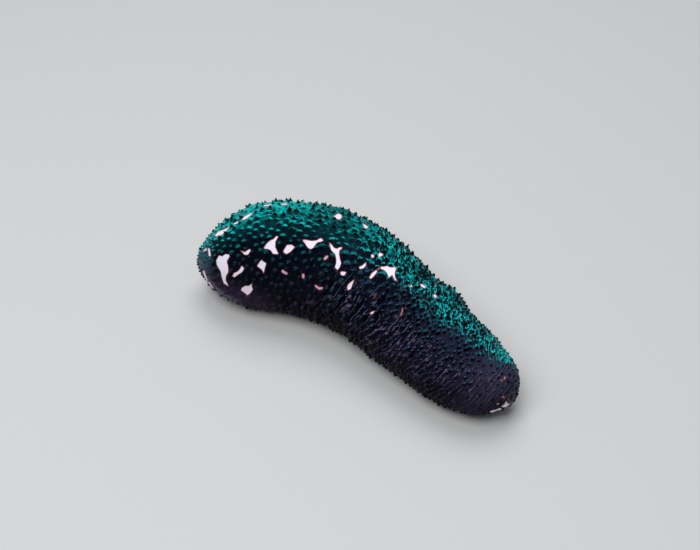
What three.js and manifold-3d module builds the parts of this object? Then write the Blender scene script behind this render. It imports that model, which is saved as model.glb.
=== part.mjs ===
// A stout black sea cucumber at rest, life size. It lies on its flat sole and bends to one side.
// Millimetres, +Z up. The floor is z = 0, the front end points to -X and the rear end to +X.
// The body is one smooth form that thin cuts part into five lengths of body, each over its length
// of sole. The mouth is let into the front end and the vent into the rear end.

import * as THREE from 'three';
import { mergeVertices } from 'three/addons/utils/BufferGeometryUtils.js';
import Module from 'manifold-3d';

const wasm = await Module();
wasm.setup();

// Middle line of the body, seen from above, with headings in degrees from +X
const BODY_LENGTH = 297;
const FRONT_TIP_X = -139.8;
const FRONT_TIP_Y = -31.45;
const FRONT_HEADING = 27.2;
const BEND = 45.4;
const BEND_FROM = 0.145;
const BEND_TO = 0.6;
const REAR_HOOK = 14;
const REAR_HOOK_FROM = 0.7;
const LINE_STEPS = 400;

// Cross-section, a loaf: its half width at 0, 1/3, 2/3 and 1 of the length, before the ends round off
const HALF_WIDTHS = [31, 44.6, 36.8, 33.9];
const HEIGHT_TO_WIDTH = 0.92;
const WIDEST_LEVEL = 0.44;
const FLANK_POWER = 2.5;

// Rounding of the two ends, and the level of each tip as a share of the widest level
const FRONT_ROUNDING = 49.8;
const REAR_ROUNDING = 62.5;
const ROUNDING_POWER = 2.3;
const FRONT_TIP_LEVEL = 1.14;
const REAR_TIP_LEVEL = 0.68;

// Skin facets
const RINGS = 34;
const RING_POINTS = 28;
const MERGE_DISTANCE = 1e-5;
const NORMAL_STEP = 0.002;

// Cuts between the lengths of body, as shares of the length, and the level cut over the sole
const CUTS = [0.13, 0.37, 0.62, 0.86];
const GAP = 0.3;
const SOLE_LEVEL = 3;
const SOLE_TOP = 7;
const CUTTER_SIZE = 500;

// Tube feet: three bands of short stubs with flat ends that stand on the floor
const FOOT_ROOT_RADIUS = 1.5;
const FOOT_END_RADIUS = 1.9;
const FOOT_SINK = 1.5;
const FOOT_SPACING = 8.6;
const FOOT_BANDS = [-0.64, 0, 0.64];
const FOOT_SIDES = 6;
const FOOT_MARGIN = 1;

// Papillae: cones with broad roots, larger and wider apart in front, and small and close at the front tip
const PAPILLA_SEED = 7;
const PAPILLA_TRIALS = 24000;
const PAPILLA_SIDES = 5;
const PAPILLA_SINK = 1.8;
const PAPILLA_HEIGHT_FRONT = 4;
const PAPILLA_HEIGHT_REAR = 3.4;
const PAPILLA_HEIGHT_TIP = 2.7;
const PAPILLA_WIDTH_TO_HEIGHT = 0.85;
const PAPILLA_SPACING_FRONT = 9.6;
const PAPILLA_SPACING_REAR = 7.9;
const PAPILLA_SPACING_TIP = 6.2;
const PAPILLA_TIP_REACH = 0.09;
const PAPILLA_REAR_FROM = 0.7;
const PAPILLA_VARIATION = 0.22;
const PAPILLA_LEAN = 0.22;
const PAPILLA_LOWEST_AROUND = -0.95;
const PAPILLA_FLOOR_CLEARANCE = 3;
const PAPILLA_MARGIN = 0.5;

// Mouth and vent: puckered discs, each on the flat floor of a round seat in its end of the body.
// The profile gives shares of the radius and of the depth, from the middle of the back to the pit.
const MOUTH = { station: 0.02, around: -Math.PI / 2, radius: 7.5, depth: 4.2, folds: 20 };
const VENT = { station: 0.9985, around: Math.PI / 2, radius: 5.2, depth: 3.2, folds: 10 };
const SEAT_REACH = 12;
const SEAT_SIDES = 36;
const DISC_PROFILE = [
  [0, 0],
  [1, 0],
  [1, 0.62],
  [0.82, 0.98],
  [0.6, 1.06],
  [0.38, 0.86],
  [0.2, 0.5],
  [0, 0.36],
];
const PUCKER_DEPTH = 0.1;
const LIPS_FROM_HEIGHT = 0.4;
const LIPS_EDGE = 0.01;

const FINISHES = {
  body: new THREE.MeshStandardMaterial({ color: '#15151e', roughness: 0.42, metalness: 0 }),
  sole: new THREE.MeshStandardMaterial({ color: '#37323f', roughness: 0.6, metalness: 0 }),
  mouth: new THREE.MeshStandardMaterial({ color: '#4a3f49', roughness: 0.5, metalness: 0 }),
  vent: new THREE.MeshStandardMaterial({ color: '#463c4a', roughness: 0.5, metalness: 0 }),
};

const LENGTH_NAMES = ['front_end', 'fore_body', 'mid_body', 'hind_body', 'rear_end'];
const SOLE_NAMES = ['sole_front', 'sole_fore', 'sole_mid', 'sole_hind', 'sole_rear'];

function smooth(value) {
  const t = THREE.MathUtils.clamp(value, 0, 1);
  return t * t * (3 - 2 * t);
}

function seededRandom(seed) {
  let state = seed;
  return () => {
    state = (state + 0x6d2b79f5) | 0;
    let mixed = Math.imul(state ^ (state >>> 15), 1 | state);
    mixed = (mixed + Math.imul(mixed ^ (mixed >>> 7), 61 | mixed)) ^ mixed;
    return ((mixed ^ (mixed >>> 14)) >>> 0) / 4294967296;
  };
}

// The value at a station of the cubic through four values at 0, 1/3, 2/3 and 1
function throughFour(values, station) {
  let sum = 0;
  values.forEach((value, i) => {
    let weight = value;
    values.forEach((_, j) => {
      if (j !== i) {
        weight *= (3 * station - j) / (i - j);
      }
    });
    sum += weight;
  });
  return sum;
}

// Heading of the middle line in radians, from the front tip at station 0 to the rear tip at 1
function headingAt(station) {
  const bend = BEND * smooth((station - BEND_FROM) / (BEND_TO - BEND_FROM));
  const hook = REAR_HOOK * smooth((station - REAR_HOOK_FROM) / (1 - REAR_HOOK_FROM));
  return THREE.MathUtils.degToRad(FRONT_HEADING - bend + hook);
}

class MiddleLine extends THREE.Curve {
  constructor(steps) {
    super();
    const point = new THREE.Vector2(FRONT_TIP_X, FRONT_TIP_Y);
    this.points = [point.clone()];
    for (let i = 0; i < steps; i += 1) {
      const heading = headingAt((i + 0.5) / steps);
      point.x += (Math.cos(heading) * BODY_LENGTH) / steps;
      point.y += (Math.sin(heading) * BODY_LENGTH) / steps;
      this.points.push(point.clone());
    }
  }

  getPoint(station) {
    const place = THREE.MathUtils.clamp(station, 0, 1) * (this.points.length - 1);
    const i = Math.min(Math.floor(place), this.points.length - 2);
    return this.points[i].clone().lerp(this.points[i + 1], place - i);
  }
}

const middleLine = new MiddleLine(LINE_STEPS);

// How far the ends have rounded off: 0 at either tip and 1 along the middle
function roundingAt(station) {
  const front = THREE.MathUtils.clamp((station * BODY_LENGTH) / FRONT_ROUNDING, 0, 1);
  const rear = THREE.MathUtils.clamp(((1 - station) * BODY_LENGTH) / REAR_ROUNDING, 0, 1);
  const frontShare = Math.sqrt(1 - (1 - front) ** ROUNDING_POWER);
  const rearShare = Math.sqrt(1 - (1 - rear) ** ROUNDING_POWER);
  return frontShare * rearShare;
}

// Sizes of the section at a station: half width, rise above and drop below its widest level
function sectionAt(station) {
  const fullWidth = throughFour(HALF_WIDTHS, station);
  const fullHeight = 2 * HEIGHT_TO_WIDTH * fullWidth;
  const rounding = roundingAt(station);
  const tipLevel = station < 0.5 ? FRONT_TIP_LEVEL : REAR_TIP_LEVEL;
  return {
    halfWidth: fullWidth * rounding,
    rise: (1 - WIDEST_LEVEL) * fullHeight * rounding,
    drop: WIDEST_LEVEL * fullHeight * rounding,
    level: WIDEST_LEVEL * fullHeight * (rounding + tipLevel * (1 - rounding)),
  };
}

// A point of the skin. Around is 0 on the right flank (+Y), a quarter turn at the top of the back
function surfacePoint(station, around) {
  const centre = middleLine.getPoint(station);
  const heading = headingAt(station);
  const section = sectionAt(station);
  const upper = Math.sin(around) >= 0;
  const power = upper ? 1 : 2 / FLANK_POWER;
  const out = Math.sign(Math.cos(around)) * Math.abs(Math.cos(around)) ** power * section.halfWidth;
  const lift = Math.abs(Math.sin(around)) ** power * (upper ? section.rise : -section.drop);
  return new THREE.Vector3(
    centre.x - Math.sin(heading) * out,
    centre.y + Math.cos(heading) * out,
    Math.max(section.level + lift, SOLE_LEVEL),
  );
}

function surfaceNormal(station, around) {
  const step = NORMAL_STEP;
  const inside = THREE.MathUtils.clamp(station, step, 1 - step);
  const along = surfacePoint(inside + step, around).sub(surfacePoint(inside - step, around));
  const across = surfacePoint(inside, around + step).sub(surfacePoint(inside, around - step));
  return along.cross(across).normalize().negate();
}

// Half width of the flat underside at a station
function soleHalfWidth(station) {
  const section = sectionAt(station);
  const depth = (section.level - SOLE_LEVEL) / section.drop;
  return depth < 1 ? section.halfWidth * (1 - depth ** FLANK_POWER) ** (1 / FLANK_POWER) : 0;
}

function directionAt(station) {
  const heading = headingAt(station);
  return new THREE.Vector3(Math.cos(heading), Math.sin(heading), 0);
}

function solidOf(geometry) {
  geometry.deleteAttribute('normal');
  geometry.deleteAttribute('uv');
  const merged = mergeVertices(geometry, MERGE_DISTANCE);
  return new wasm.Manifold(
    new wasm.Mesh({
      numProp: 3,
      vertProperties: new Float32Array(merged.getAttribute('position').array),
      triVerts: new Uint32Array(merged.getIndex().array),
    }),
  );
}

function geometryOf(solid) {
  const mesh = solid.getMesh();
  const geometry = new THREE.BufferGeometry();
  geometry.setAttribute('position', new THREE.BufferAttribute(mesh.vertProperties, 3));
  geometry.setIndex(new THREE.BufferAttribute(mesh.triVerts, 1));
  geometry.computeVertexNormals();
  return geometry;
}

function largestSurface(solid) {
  return solid.decompose().sort((a, b) => b.volume() - a.volume())[0];
}

// The whole body as rings of skin points between its two tips
function bodyGeometry() {
  const positions = [...surfacePoint(0, 0).toArray()];
  for (let ring = 1; ring < RINGS; ring += 1) {
    const station = (1 - Math.cos((Math.PI * ring) / RINGS)) / 2;
    for (let i = 0; i < RING_POINTS; i += 1) {
      positions.push(...surfacePoint(station, (2 * Math.PI * i) / RING_POINTS).toArray());
    }
  }
  positions.push(...surfacePoint(1, 0).toArray());
  const last = positions.length / 3 - 1;
  const at = (ring, i) => 1 + (ring - 1) * RING_POINTS + (i % RING_POINTS);
  const faces = [];
  for (let i = 0; i < RING_POINTS; i += 1) {
    faces.push(0, at(1, i + 1), at(1, i));
    for (let ring = 1; ring < RINGS - 1; ring += 1) {
      faces.push(at(ring, i), at(ring + 1, i + 1), at(ring + 1, i));
      faces.push(at(ring, i), at(ring, i + 1), at(ring + 1, i + 1));
    }
    faces.push(last, at(RINGS - 1, i), at(RINGS - 1, i + 1));
  }
  const geometry = new THREE.BufferGeometry();
  geometry.setAttribute('position', new THREE.Float32BufferAttribute(positions, 3));
  geometry.setIndex(faces);
  return geometry;
}

// A block that takes away all before (side -1) or behind (side 1) the cut at a station
function cutBlock(station, side) {
  const offset = side * (CUTTER_SIZE / 2 - GAP / 2);
  const centre = directionAt(station).multiplyScalar(offset);
  const onLine = middleLine.getPoint(station);
  const block = new THREE.BoxGeometry(CUTTER_SIZE, CUTTER_SIZE, CUTTER_SIZE);
  block.rotateZ(headingAt(station));
  block.translate(onLine.x + centre.x, onLine.y + centre.y, 0);
  return solidOf(block);
}

// A block that takes away all above (side 1) or below (side -1) the level cut over the sole
function levelBlock(side) {
  const block = new THREE.BoxGeometry(2 * CUTTER_SIZE, 2 * CUTTER_SIZE, CUTTER_SIZE);
  block.translate(0, 0, SOLE_TOP + side * (CUTTER_SIZE / 2 - GAP / 2));
  return solidOf(block);
}

// A piece made upright on the origin, with its top along +Y, set on a point with its top outwards
function setOn(geometry, point, outwards) {
  const turn = new THREE.Quaternion().setFromUnitVectors(new THREE.Vector3(0, 1, 0), outwards);
  geometry.applyQuaternion(turn);
  geometry.translate(point.x, point.y, point.z);
  return geometry;
}

// Floor of the seat under the mouth or vent, and the way that it faces
function seatOf(opening) {
  const outwards = surfaceNormal(opening.station, opening.around);
  const surface = surfacePoint(opening.station, opening.around);
  return { outwards, floor: surface.addScaledVector(outwards, -opening.depth) };
}

function seatCutter(opening) {
  const { outwards, floor } = seatOf(opening);
  const radius = opening.radius + GAP;
  const cutter = new THREE.CylinderGeometry(radius, radius, SEAT_REACH, SEAT_SIDES);
  cutter.translate(0, SEAT_REACH / 2 - GAP, 0);
  return solidOf(setOn(cutter, floor, outwards));
}

// A puckered disc: its rim is round and its lips rise and fall with the folds
function puckeredDisc(opening) {
  const points = DISC_PROFILE.map(
    ([share, height]) => new THREE.Vector2(share * opening.radius, height * opening.depth),
  );
  const disc = new THREE.LatheGeometry(points, 2 * opening.folds);
  const position = disc.getAttribute('position');
  const vertex = new THREE.Vector3();
  for (let i = 0; i < position.count; i += 1) {
    vertex.fromBufferAttribute(position, i);
    const share = Math.hypot(vertex.x, vertex.z) / opening.radius;
    const offRimAndPit = share > LIPS_EDGE && share < 1 - LIPS_EDGE;
    if (offRimAndPit && vertex.y > LIPS_FROM_HEIGHT * opening.depth) {
      const turn = Math.atan2(vertex.x, vertex.z);
      vertex.y += PUCKER_DEPTH * opening.depth * Math.cos(opening.folds * turn);
      position.setY(i, vertex.y);
    }
  }
  const { outwards, floor } = seatOf(opening);
  return solidOf(setOn(disc, floor, outwards));
}

// A size that has one value at the front tip, another just behind it, and runs on to a third
function fromTipToRear(station, atTip, inFront, atRear) {
  const alongBody = THREE.MathUtils.lerp(inFront, atRear, smooth(station / PAPILLA_REAR_FROM));
  return THREE.MathUtils.lerp(atTip, alongBody, smooth(station / PAPILLA_TIP_REACH));
}

function papillaHeight(station, random) {
  const height = fromTipToRear(station, PAPILLA_HEIGHT_TIP, PAPILLA_HEIGHT_FRONT, PAPILLA_HEIGHT_REAR);
  return height * (1 + PAPILLA_VARIATION * (2 * random() - 1));
}

function papillaSpacing(station) {
  return fromTipToRear(station, PAPILLA_SPACING_TIP, PAPILLA_SPACING_FRONT, PAPILLA_SPACING_REAR);
}

// Whether a papilla of a radius stays clear of the cuts, the sole, the mouth and the vent
function clearOfCuts(root, radius) {
  const margin = radius + GAP / 2 + PAPILLA_MARGIN;
  const clearOfLengths = CUTS.every((cut) => {
    const onLine = middleLine.getPoint(cut);
    const fromCut = new THREE.Vector3(root.x - onLine.x, root.y - onLine.y, 0);
    return Math.abs(fromCut.dot(directionAt(cut))) > margin;
  });
  const clearOfSeats = [MOUTH, VENT].every(
    (opening) => seatOf(opening).floor.distanceTo(root) > opening.radius + margin,
  );
  return clearOfLengths && clearOfSeats && root.z > SOLE_TOP + margin;
}

// Papillae thrown one by one at the skin and kept where they leave the ones before them room
function scatterPapillae() {
  const random = seededRandom(PAPILLA_SEED);
  const kept = [];
  for (let trial = 0; trial < PAPILLA_TRIALS; trial += 1) {
    const station = (1 - Math.cos(Math.PI * random())) / 2;
    const around = THREE.MathUtils.lerp(PAPILLA_LOWEST_AROUND, Math.PI - PAPILLA_LOWEST_AROUND, random());
    const height = papillaHeight(station, random);
    const lean = new THREE.Vector3(random() - 0.5, random() - 0.5, random() - 0.5);
    const radius = PAPILLA_WIDTH_TO_HEIGHT * height;
    const root = surfacePoint(station, around);
    const outwards = surfaceNormal(station, around);
    outwards.addScaledVector(lean, 2 * PAPILLA_LEAN).normalize();
    const tipHeight = root.z + height * outwards.z;
    const crowded = kept.some((other) => other.root.distanceTo(root) < papillaSpacing(station));
    if (!crowded && clearOfCuts(root, radius) && tipHeight > PAPILLA_FLOOR_CLEARANCE) {
      kept.push({ station, root, outwards, height, radius });
    }
  }
  return kept;
}

function papillaSolid({ root, outwards, height, radius }) {
  const cone = new THREE.ConeGeometry(radius, height + PAPILLA_SINK, PAPILLA_SIDES);
  cone.translate(0, (height - PAPILLA_SINK) / 2, 0);
  return solidOf(setOn(cone, root, outwards));
}

// Tube feet under one length of sole, in three bands, each in a zigzag
function tubeFeet(from, to) {
  const feet = [];
  const height = SOLE_LEVEL + FOOT_SINK;
  const margin = (FOOT_END_RADIUS + FOOT_MARGIN) / BODY_LENGTH;
  const count = Math.floor(((to - from - 2 * margin) * BODY_LENGTH) / FOOT_SPACING) + 1;
  FOOT_BANDS.forEach((band) => {
    for (let i = 0; i < count; i += 1) {
      const station = THREE.MathUtils.lerp(from + margin, to - margin, count > 1 ? i / (count - 1) : 0.5);
      const halfWidth = soleHalfWidth(station);
      const zigzag = (i % 2 ? 1 : -1) * FOOT_ROOT_RADIUS;
      const out = band * halfWidth + zigzag;
      if (Math.abs(out) + FOOT_ROOT_RADIUS + FOOT_MARGIN < halfWidth) {
        const foot = new THREE.CylinderGeometry(FOOT_ROOT_RADIUS, FOOT_END_RADIUS, height, FOOT_SIDES);
        const onLine = middleLine.getPoint(station);
        const heading = headingAt(station);
        foot.rotateX(Math.PI / 2);
        foot.translate(
          onLine.x - Math.sin(heading) * out,
          onLine.y + Math.cos(heading) * out,
          height / 2,
        );
        feet.push(solidOf(foot));
      }
    }
  });
  return feet;
}

// The part of a solid between two cuts, where 0 and 1 are the uncut tips
function between(solid, from, to) {
  const behind = from > 0 ? solid.subtract(cutBlock(from, -1)) : solid;
  return to < 1 ? behind.subtract(cutBlock(to, 1)) : behind;
}

function meshOf(name, solid, finish) {
  const mesh = new THREE.Mesh(geometryOf(largestSurface(solid)), finish);
  mesh.name = name;
  return mesh;
}

const whole = solidOf(bodyGeometry());
const upper = whole.subtract(levelBlock(-1)).subtract(seatCutter(MOUTH)).subtract(seatCutter(VENT));
const lower = whole.subtract(levelBlock(1)).subtract(seatCutter(MOUTH));
const papillae = scatterPapillae();
const ends = [0, ...CUTS, 1];

const seaCucumber = new THREE.Group();
seaCucumber.name = 'sea_cucumber';

LENGTH_NAMES.forEach((name, i) => {
  let solid = between(upper, ends[i], ends[i + 1]);
  papillae
    .filter(({ station }) => station > ends[i] && station < ends[i + 1])
    .forEach((papilla) => {
      solid = solid.add(papillaSolid(papilla));
    });
  seaCucumber.add(meshOf(name, solid, FINISHES.body));
});

SOLE_NAMES.forEach((name, i) => {
  let solid = between(lower, ends[i], ends[i + 1]);
  tubeFeet(ends[i], ends[i + 1]).forEach((foot) => {
    solid = solid.add(foot);
  });
  seaCucumber.add(meshOf(name, solid, FINISHES.sole));
});

seaCucumber.add(meshOf('mouth', puckeredDisc(MOUTH), FINISHES.mouth));
seaCucumber.add(meshOf('vent', puckeredDisc(VENT), FINISHES.vent));

export default seaCucumber;
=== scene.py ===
# A stout black sea cucumber, life size, as a still museum model. It lies on its flat sole, bent to one side.
# Metres, +Z up. The front end points to -X and the rear end to +X, and the floor is z = 0.
# A station is a share of the body's length, from 0 at the front tip to 1 at the rear tip.
import math
from functools import reduce

import bpy
import numpy as np
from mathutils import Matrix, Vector, kdtree


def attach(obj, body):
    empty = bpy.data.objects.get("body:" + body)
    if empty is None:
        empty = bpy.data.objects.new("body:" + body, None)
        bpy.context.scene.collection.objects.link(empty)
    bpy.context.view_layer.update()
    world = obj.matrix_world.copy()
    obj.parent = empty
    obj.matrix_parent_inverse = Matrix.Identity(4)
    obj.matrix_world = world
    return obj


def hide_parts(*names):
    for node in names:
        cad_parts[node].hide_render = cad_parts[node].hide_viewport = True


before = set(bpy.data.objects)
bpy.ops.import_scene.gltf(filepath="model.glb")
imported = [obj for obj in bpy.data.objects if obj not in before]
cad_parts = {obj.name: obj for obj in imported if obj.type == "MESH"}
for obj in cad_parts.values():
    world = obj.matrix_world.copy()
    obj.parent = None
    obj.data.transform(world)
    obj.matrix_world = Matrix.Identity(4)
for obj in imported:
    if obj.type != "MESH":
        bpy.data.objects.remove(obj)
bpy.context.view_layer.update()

scene = bpy.context.scene

BODY = "root"
MM = 0.001

# Middle line of the body, seen from above
BODY_LENGTH = 0.297
FRONT_TIP = (-0.1398, -0.03145)
FRONT_HEADING = math.radians(27.2)
BEND = math.radians(45.4)
BEND_FROM = 0.145
BEND_TO = 0.6
REAR_HOOK = math.radians(14)
REAR_HOOK_FROM = 0.7
LINE_STEPS = 400

# Cross-section, a loaf: its half width at 0, 1/3, 2/3 and 1 of the length, before the ends round off
HALF_WIDTHS = (0.031, 0.0446, 0.0368, 0.0339)
HEIGHT_TO_WIDTH = 0.92
WIDEST_LEVEL = 0.44
FLANK_POWER = 2.5
FRONT_ROUNDING = 0.0498
REAR_ROUNDING = 0.0625
ROUNDING_POWER = 2.3
FRONT_TIP_LEVEL = 1.14
REAR_TIP_LEVEL = 0.68
SOLE_LEVEL = 0.003

# Places of the mouth and the vent: station along the body, turn round it, radius, depth and folds
MOUTH = dict(station=0.02, around=-math.pi / 2, radius=0.0075, depth=0.0042, folds=20)
VENT = dict(station=0.9985, around=math.pi / 2, radius=0.0052, depth=0.0032, folds=10)

# Camera of the photograph, whose frame is 700 by 550 pixels. PIXEL is what one pixel covers at the model,
# and LEAST_SEEN is how far the skin must face the camera to be marked from the photograph
IMAGE_WIDTH = 700
IMAGE_HEIGHT = 550
CAMERA_AZIMUTH = math.radians(34.25)
CAMERA_ELEVATION = math.radians(40)
CAMERA_DISTANCE = 0.8885
CAMERA_TARGET = (0.00198, -0.01585, 0.030)
CAMERA_LENS = 60
CAMERA_SENSOR = 36
CAMERA_SHIFT = (-0.0099, 0.0493)
CAMERA_REACH = (0.05, 50)
LEAST_SEEN = 0.04
PIXEL = 0.77 * MM

# Skin mesh: its rings, the points of each ring, which lie wider apart under the sole, and its unwrap
SKIN_RINGS = 392
RING_POINTS = 254
UNDERSIDE_SHARE = 0.45
UNDERSIDE_LEVEL = 3 * SOLE_LEVEL
TYPICAL_STATION = 0.4
STATION_STEPS = 3000
TURN_STEPS = 6000
UNWRAP_EDGE = 0.01
UNWRAP_SPAN = 1 - 2 * UNWRAP_EDGE
OFF_SOLE = (SOLE_LEVEL + 0.3 * MM, SOLE_LEVEL + 5 * MM)
LOWEST_SKIN = SOLE_LEVEL - 0.4 * MM
SKIN_SEED = 11

# Smooth noise: the cells of its table each way, and a shift that keeps the places in it above zero
NOISE_CELLS = 32
NOISE_SHIFT = 100


def smooth(value, low=0.0, high=1.0):
    """A smooth step from 0 to 1 as a value goes from low to high."""
    t = np.clip((value - low) / (high - low), 0, 1)
    return t * t * (3 - 2 * t)


def mix(low, high, share):
    """The value low where share is 0 and high where it is 1."""
    return low + (high - low) * share


def unit(vectors):
    """Vectors brought to a length of 1."""
    return vectors / np.maximum(np.linalg.norm(vectors, axis=-1, keepdims=True), 1e-12)


def heading_at(station):
    """Way that the middle line runs, as a turn from +X."""
    bend = BEND * smooth(station, BEND_FROM, BEND_TO)
    hook = REAR_HOOK * smooth(station, REAR_HOOK_FROM, 1)
    return FRONT_HEADING - bend + hook


line_stations = np.linspace(0, 1, LINE_STEPS + 1)
step_headings = heading_at((line_stations[1:] + line_stations[:-1]) / 2)
line_x = FRONT_TIP[0] + np.append(0, np.cumsum(np.cos(step_headings))) * BODY_LENGTH / LINE_STEPS
line_y = FRONT_TIP[1] + np.append(0, np.cumsum(np.sin(step_headings))) * BODY_LENGTH / LINE_STEPS
width_curve = np.polyfit(np.arange(4) / 3, HALF_WIDTHS, 3)


def section_at(station):
    """Half width, rise above and drop below the widest level, and that level."""
    full_width = np.polyval(width_curve, station)
    full_height = 2 * HEIGHT_TO_WIDTH * full_width
    front = np.clip(station * BODY_LENGTH / FRONT_ROUNDING, 0, 1)
    rear = np.clip((1 - station) * BODY_LENGTH / REAR_ROUNDING, 0, 1)
    rounding = np.sqrt(1 - (1 - front) ** ROUNDING_POWER) * np.sqrt(1 - (1 - rear) ** ROUNDING_POWER)
    tip_level = np.where(station < 0.5, FRONT_TIP_LEVEL, REAR_TIP_LEVEL)
    rise = (1 - WIDEST_LEVEL) * full_height * rounding
    drop = WIDEST_LEVEL * full_height * rounding
    level = WIDEST_LEVEL * full_height * (rounding + tip_level * (1 - rounding))
    return full_width * rounding, rise, drop, level


def beside_line(station, out):
    """Places x and y at a distance to the right (+Y) of the middle line."""
    heading = heading_at(station)
    x = np.interp(station, line_stations, line_x) - np.sin(heading) * out
    y = np.interp(station, line_stations, line_y) + np.cos(heading) * out
    return x, y


def surface_point(station, around):
    """Points of the smooth body. Around is 0 on the right flank (+Y) and a quarter turn on top."""
    station, around = np.broadcast_arrays(station, around)
    half_width, rise, drop, level = section_at(station)
    upper = np.sin(around) >= 0
    power = np.where(upper, 1, 2 / FLANK_POWER)
    out = np.sign(np.cos(around)) * np.abs(np.cos(around)) ** power * half_width
    lift = np.abs(np.sin(around)) ** power * np.where(upper, rise, -drop)
    return np.stack([*beside_line(station, out), np.maximum(level + lift, SOLE_LEVEL)], axis=-1)


def sole_half_width(station):
    """Half the width of the flat underside."""
    half_width, _, drop, level = section_at(station)
    depth = np.clip((level - SOLE_LEVEL) / np.maximum(drop, 1e-9), 0, 1)
    return half_width * (1 - depth ** FLANK_POWER) ** (1 / FLANK_POWER)


def noise(points, size, seed):
    """Smooth noise between -1 and 1, with lumps about size across."""
    table = np.random.default_rng(seed).uniform(-1, 1, (NOISE_CELLS,) * 3)
    cell = points / size + NOISE_SHIFT
    low = np.floor(cell).astype(int)
    share = smooth(cell - low)
    total = np.zeros(points.shape[:-1])
    for corner in np.ndindex(2, 2, 2):
        weight = np.prod(np.where(corner, share, 1 - share), axis=-1)
        i, j, k = np.moveaxis((low + corner) % NOISE_CELLS, -1, 0)
        total += weight * table[i, j, k]
    return total


def evenly(curve, parameters, count, density=1.0):
    """Parameters at even lengths along a curve of points, weighted by a density at each step."""
    steps = np.linalg.norm(np.diff(curve, axis=0), axis=1) * density
    length = np.append(0, np.cumsum(steps))
    return np.interp(np.linspace(0, length[-1], count), length, parameters)


# Camera, and where it sees a place of the model


def camera_axes():
    """The camera's ways to the right, up and forward."""
    azimuth, elevation = CAMERA_AZIMUTH, CAMERA_ELEVATION
    level = math.cos(elevation)
    forward = np.array([-math.sin(azimuth) * level, math.cos(azimuth) * level, -math.sin(elevation)])
    right = np.array([math.cos(azimuth), math.sin(azimuth), 0])
    return right, np.cross(right, forward), forward


camera_right, camera_up, camera_forward = camera_axes()
camera_place = np.array(CAMERA_TARGET) - CAMERA_DISTANCE * camera_forward


def to_pixels(points):
    """Where the camera sees points, in pixels of the photograph."""
    offset = points - camera_place
    scale = CAMERA_LENS / CAMERA_SENSOR * IMAGE_WIDTH / (offset @ camera_forward)
    x = IMAGE_WIDTH / 2 + (offset @ camera_right) * scale - CAMERA_SHIFT[0] * IMAGE_WIDTH
    y = IMAGE_HEIGHT / 2 - (offset @ camera_up) * scale + CAMERA_SHIFT[1] * IMAGE_WIDTH
    return np.stack([x, y], axis=-1)


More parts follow.
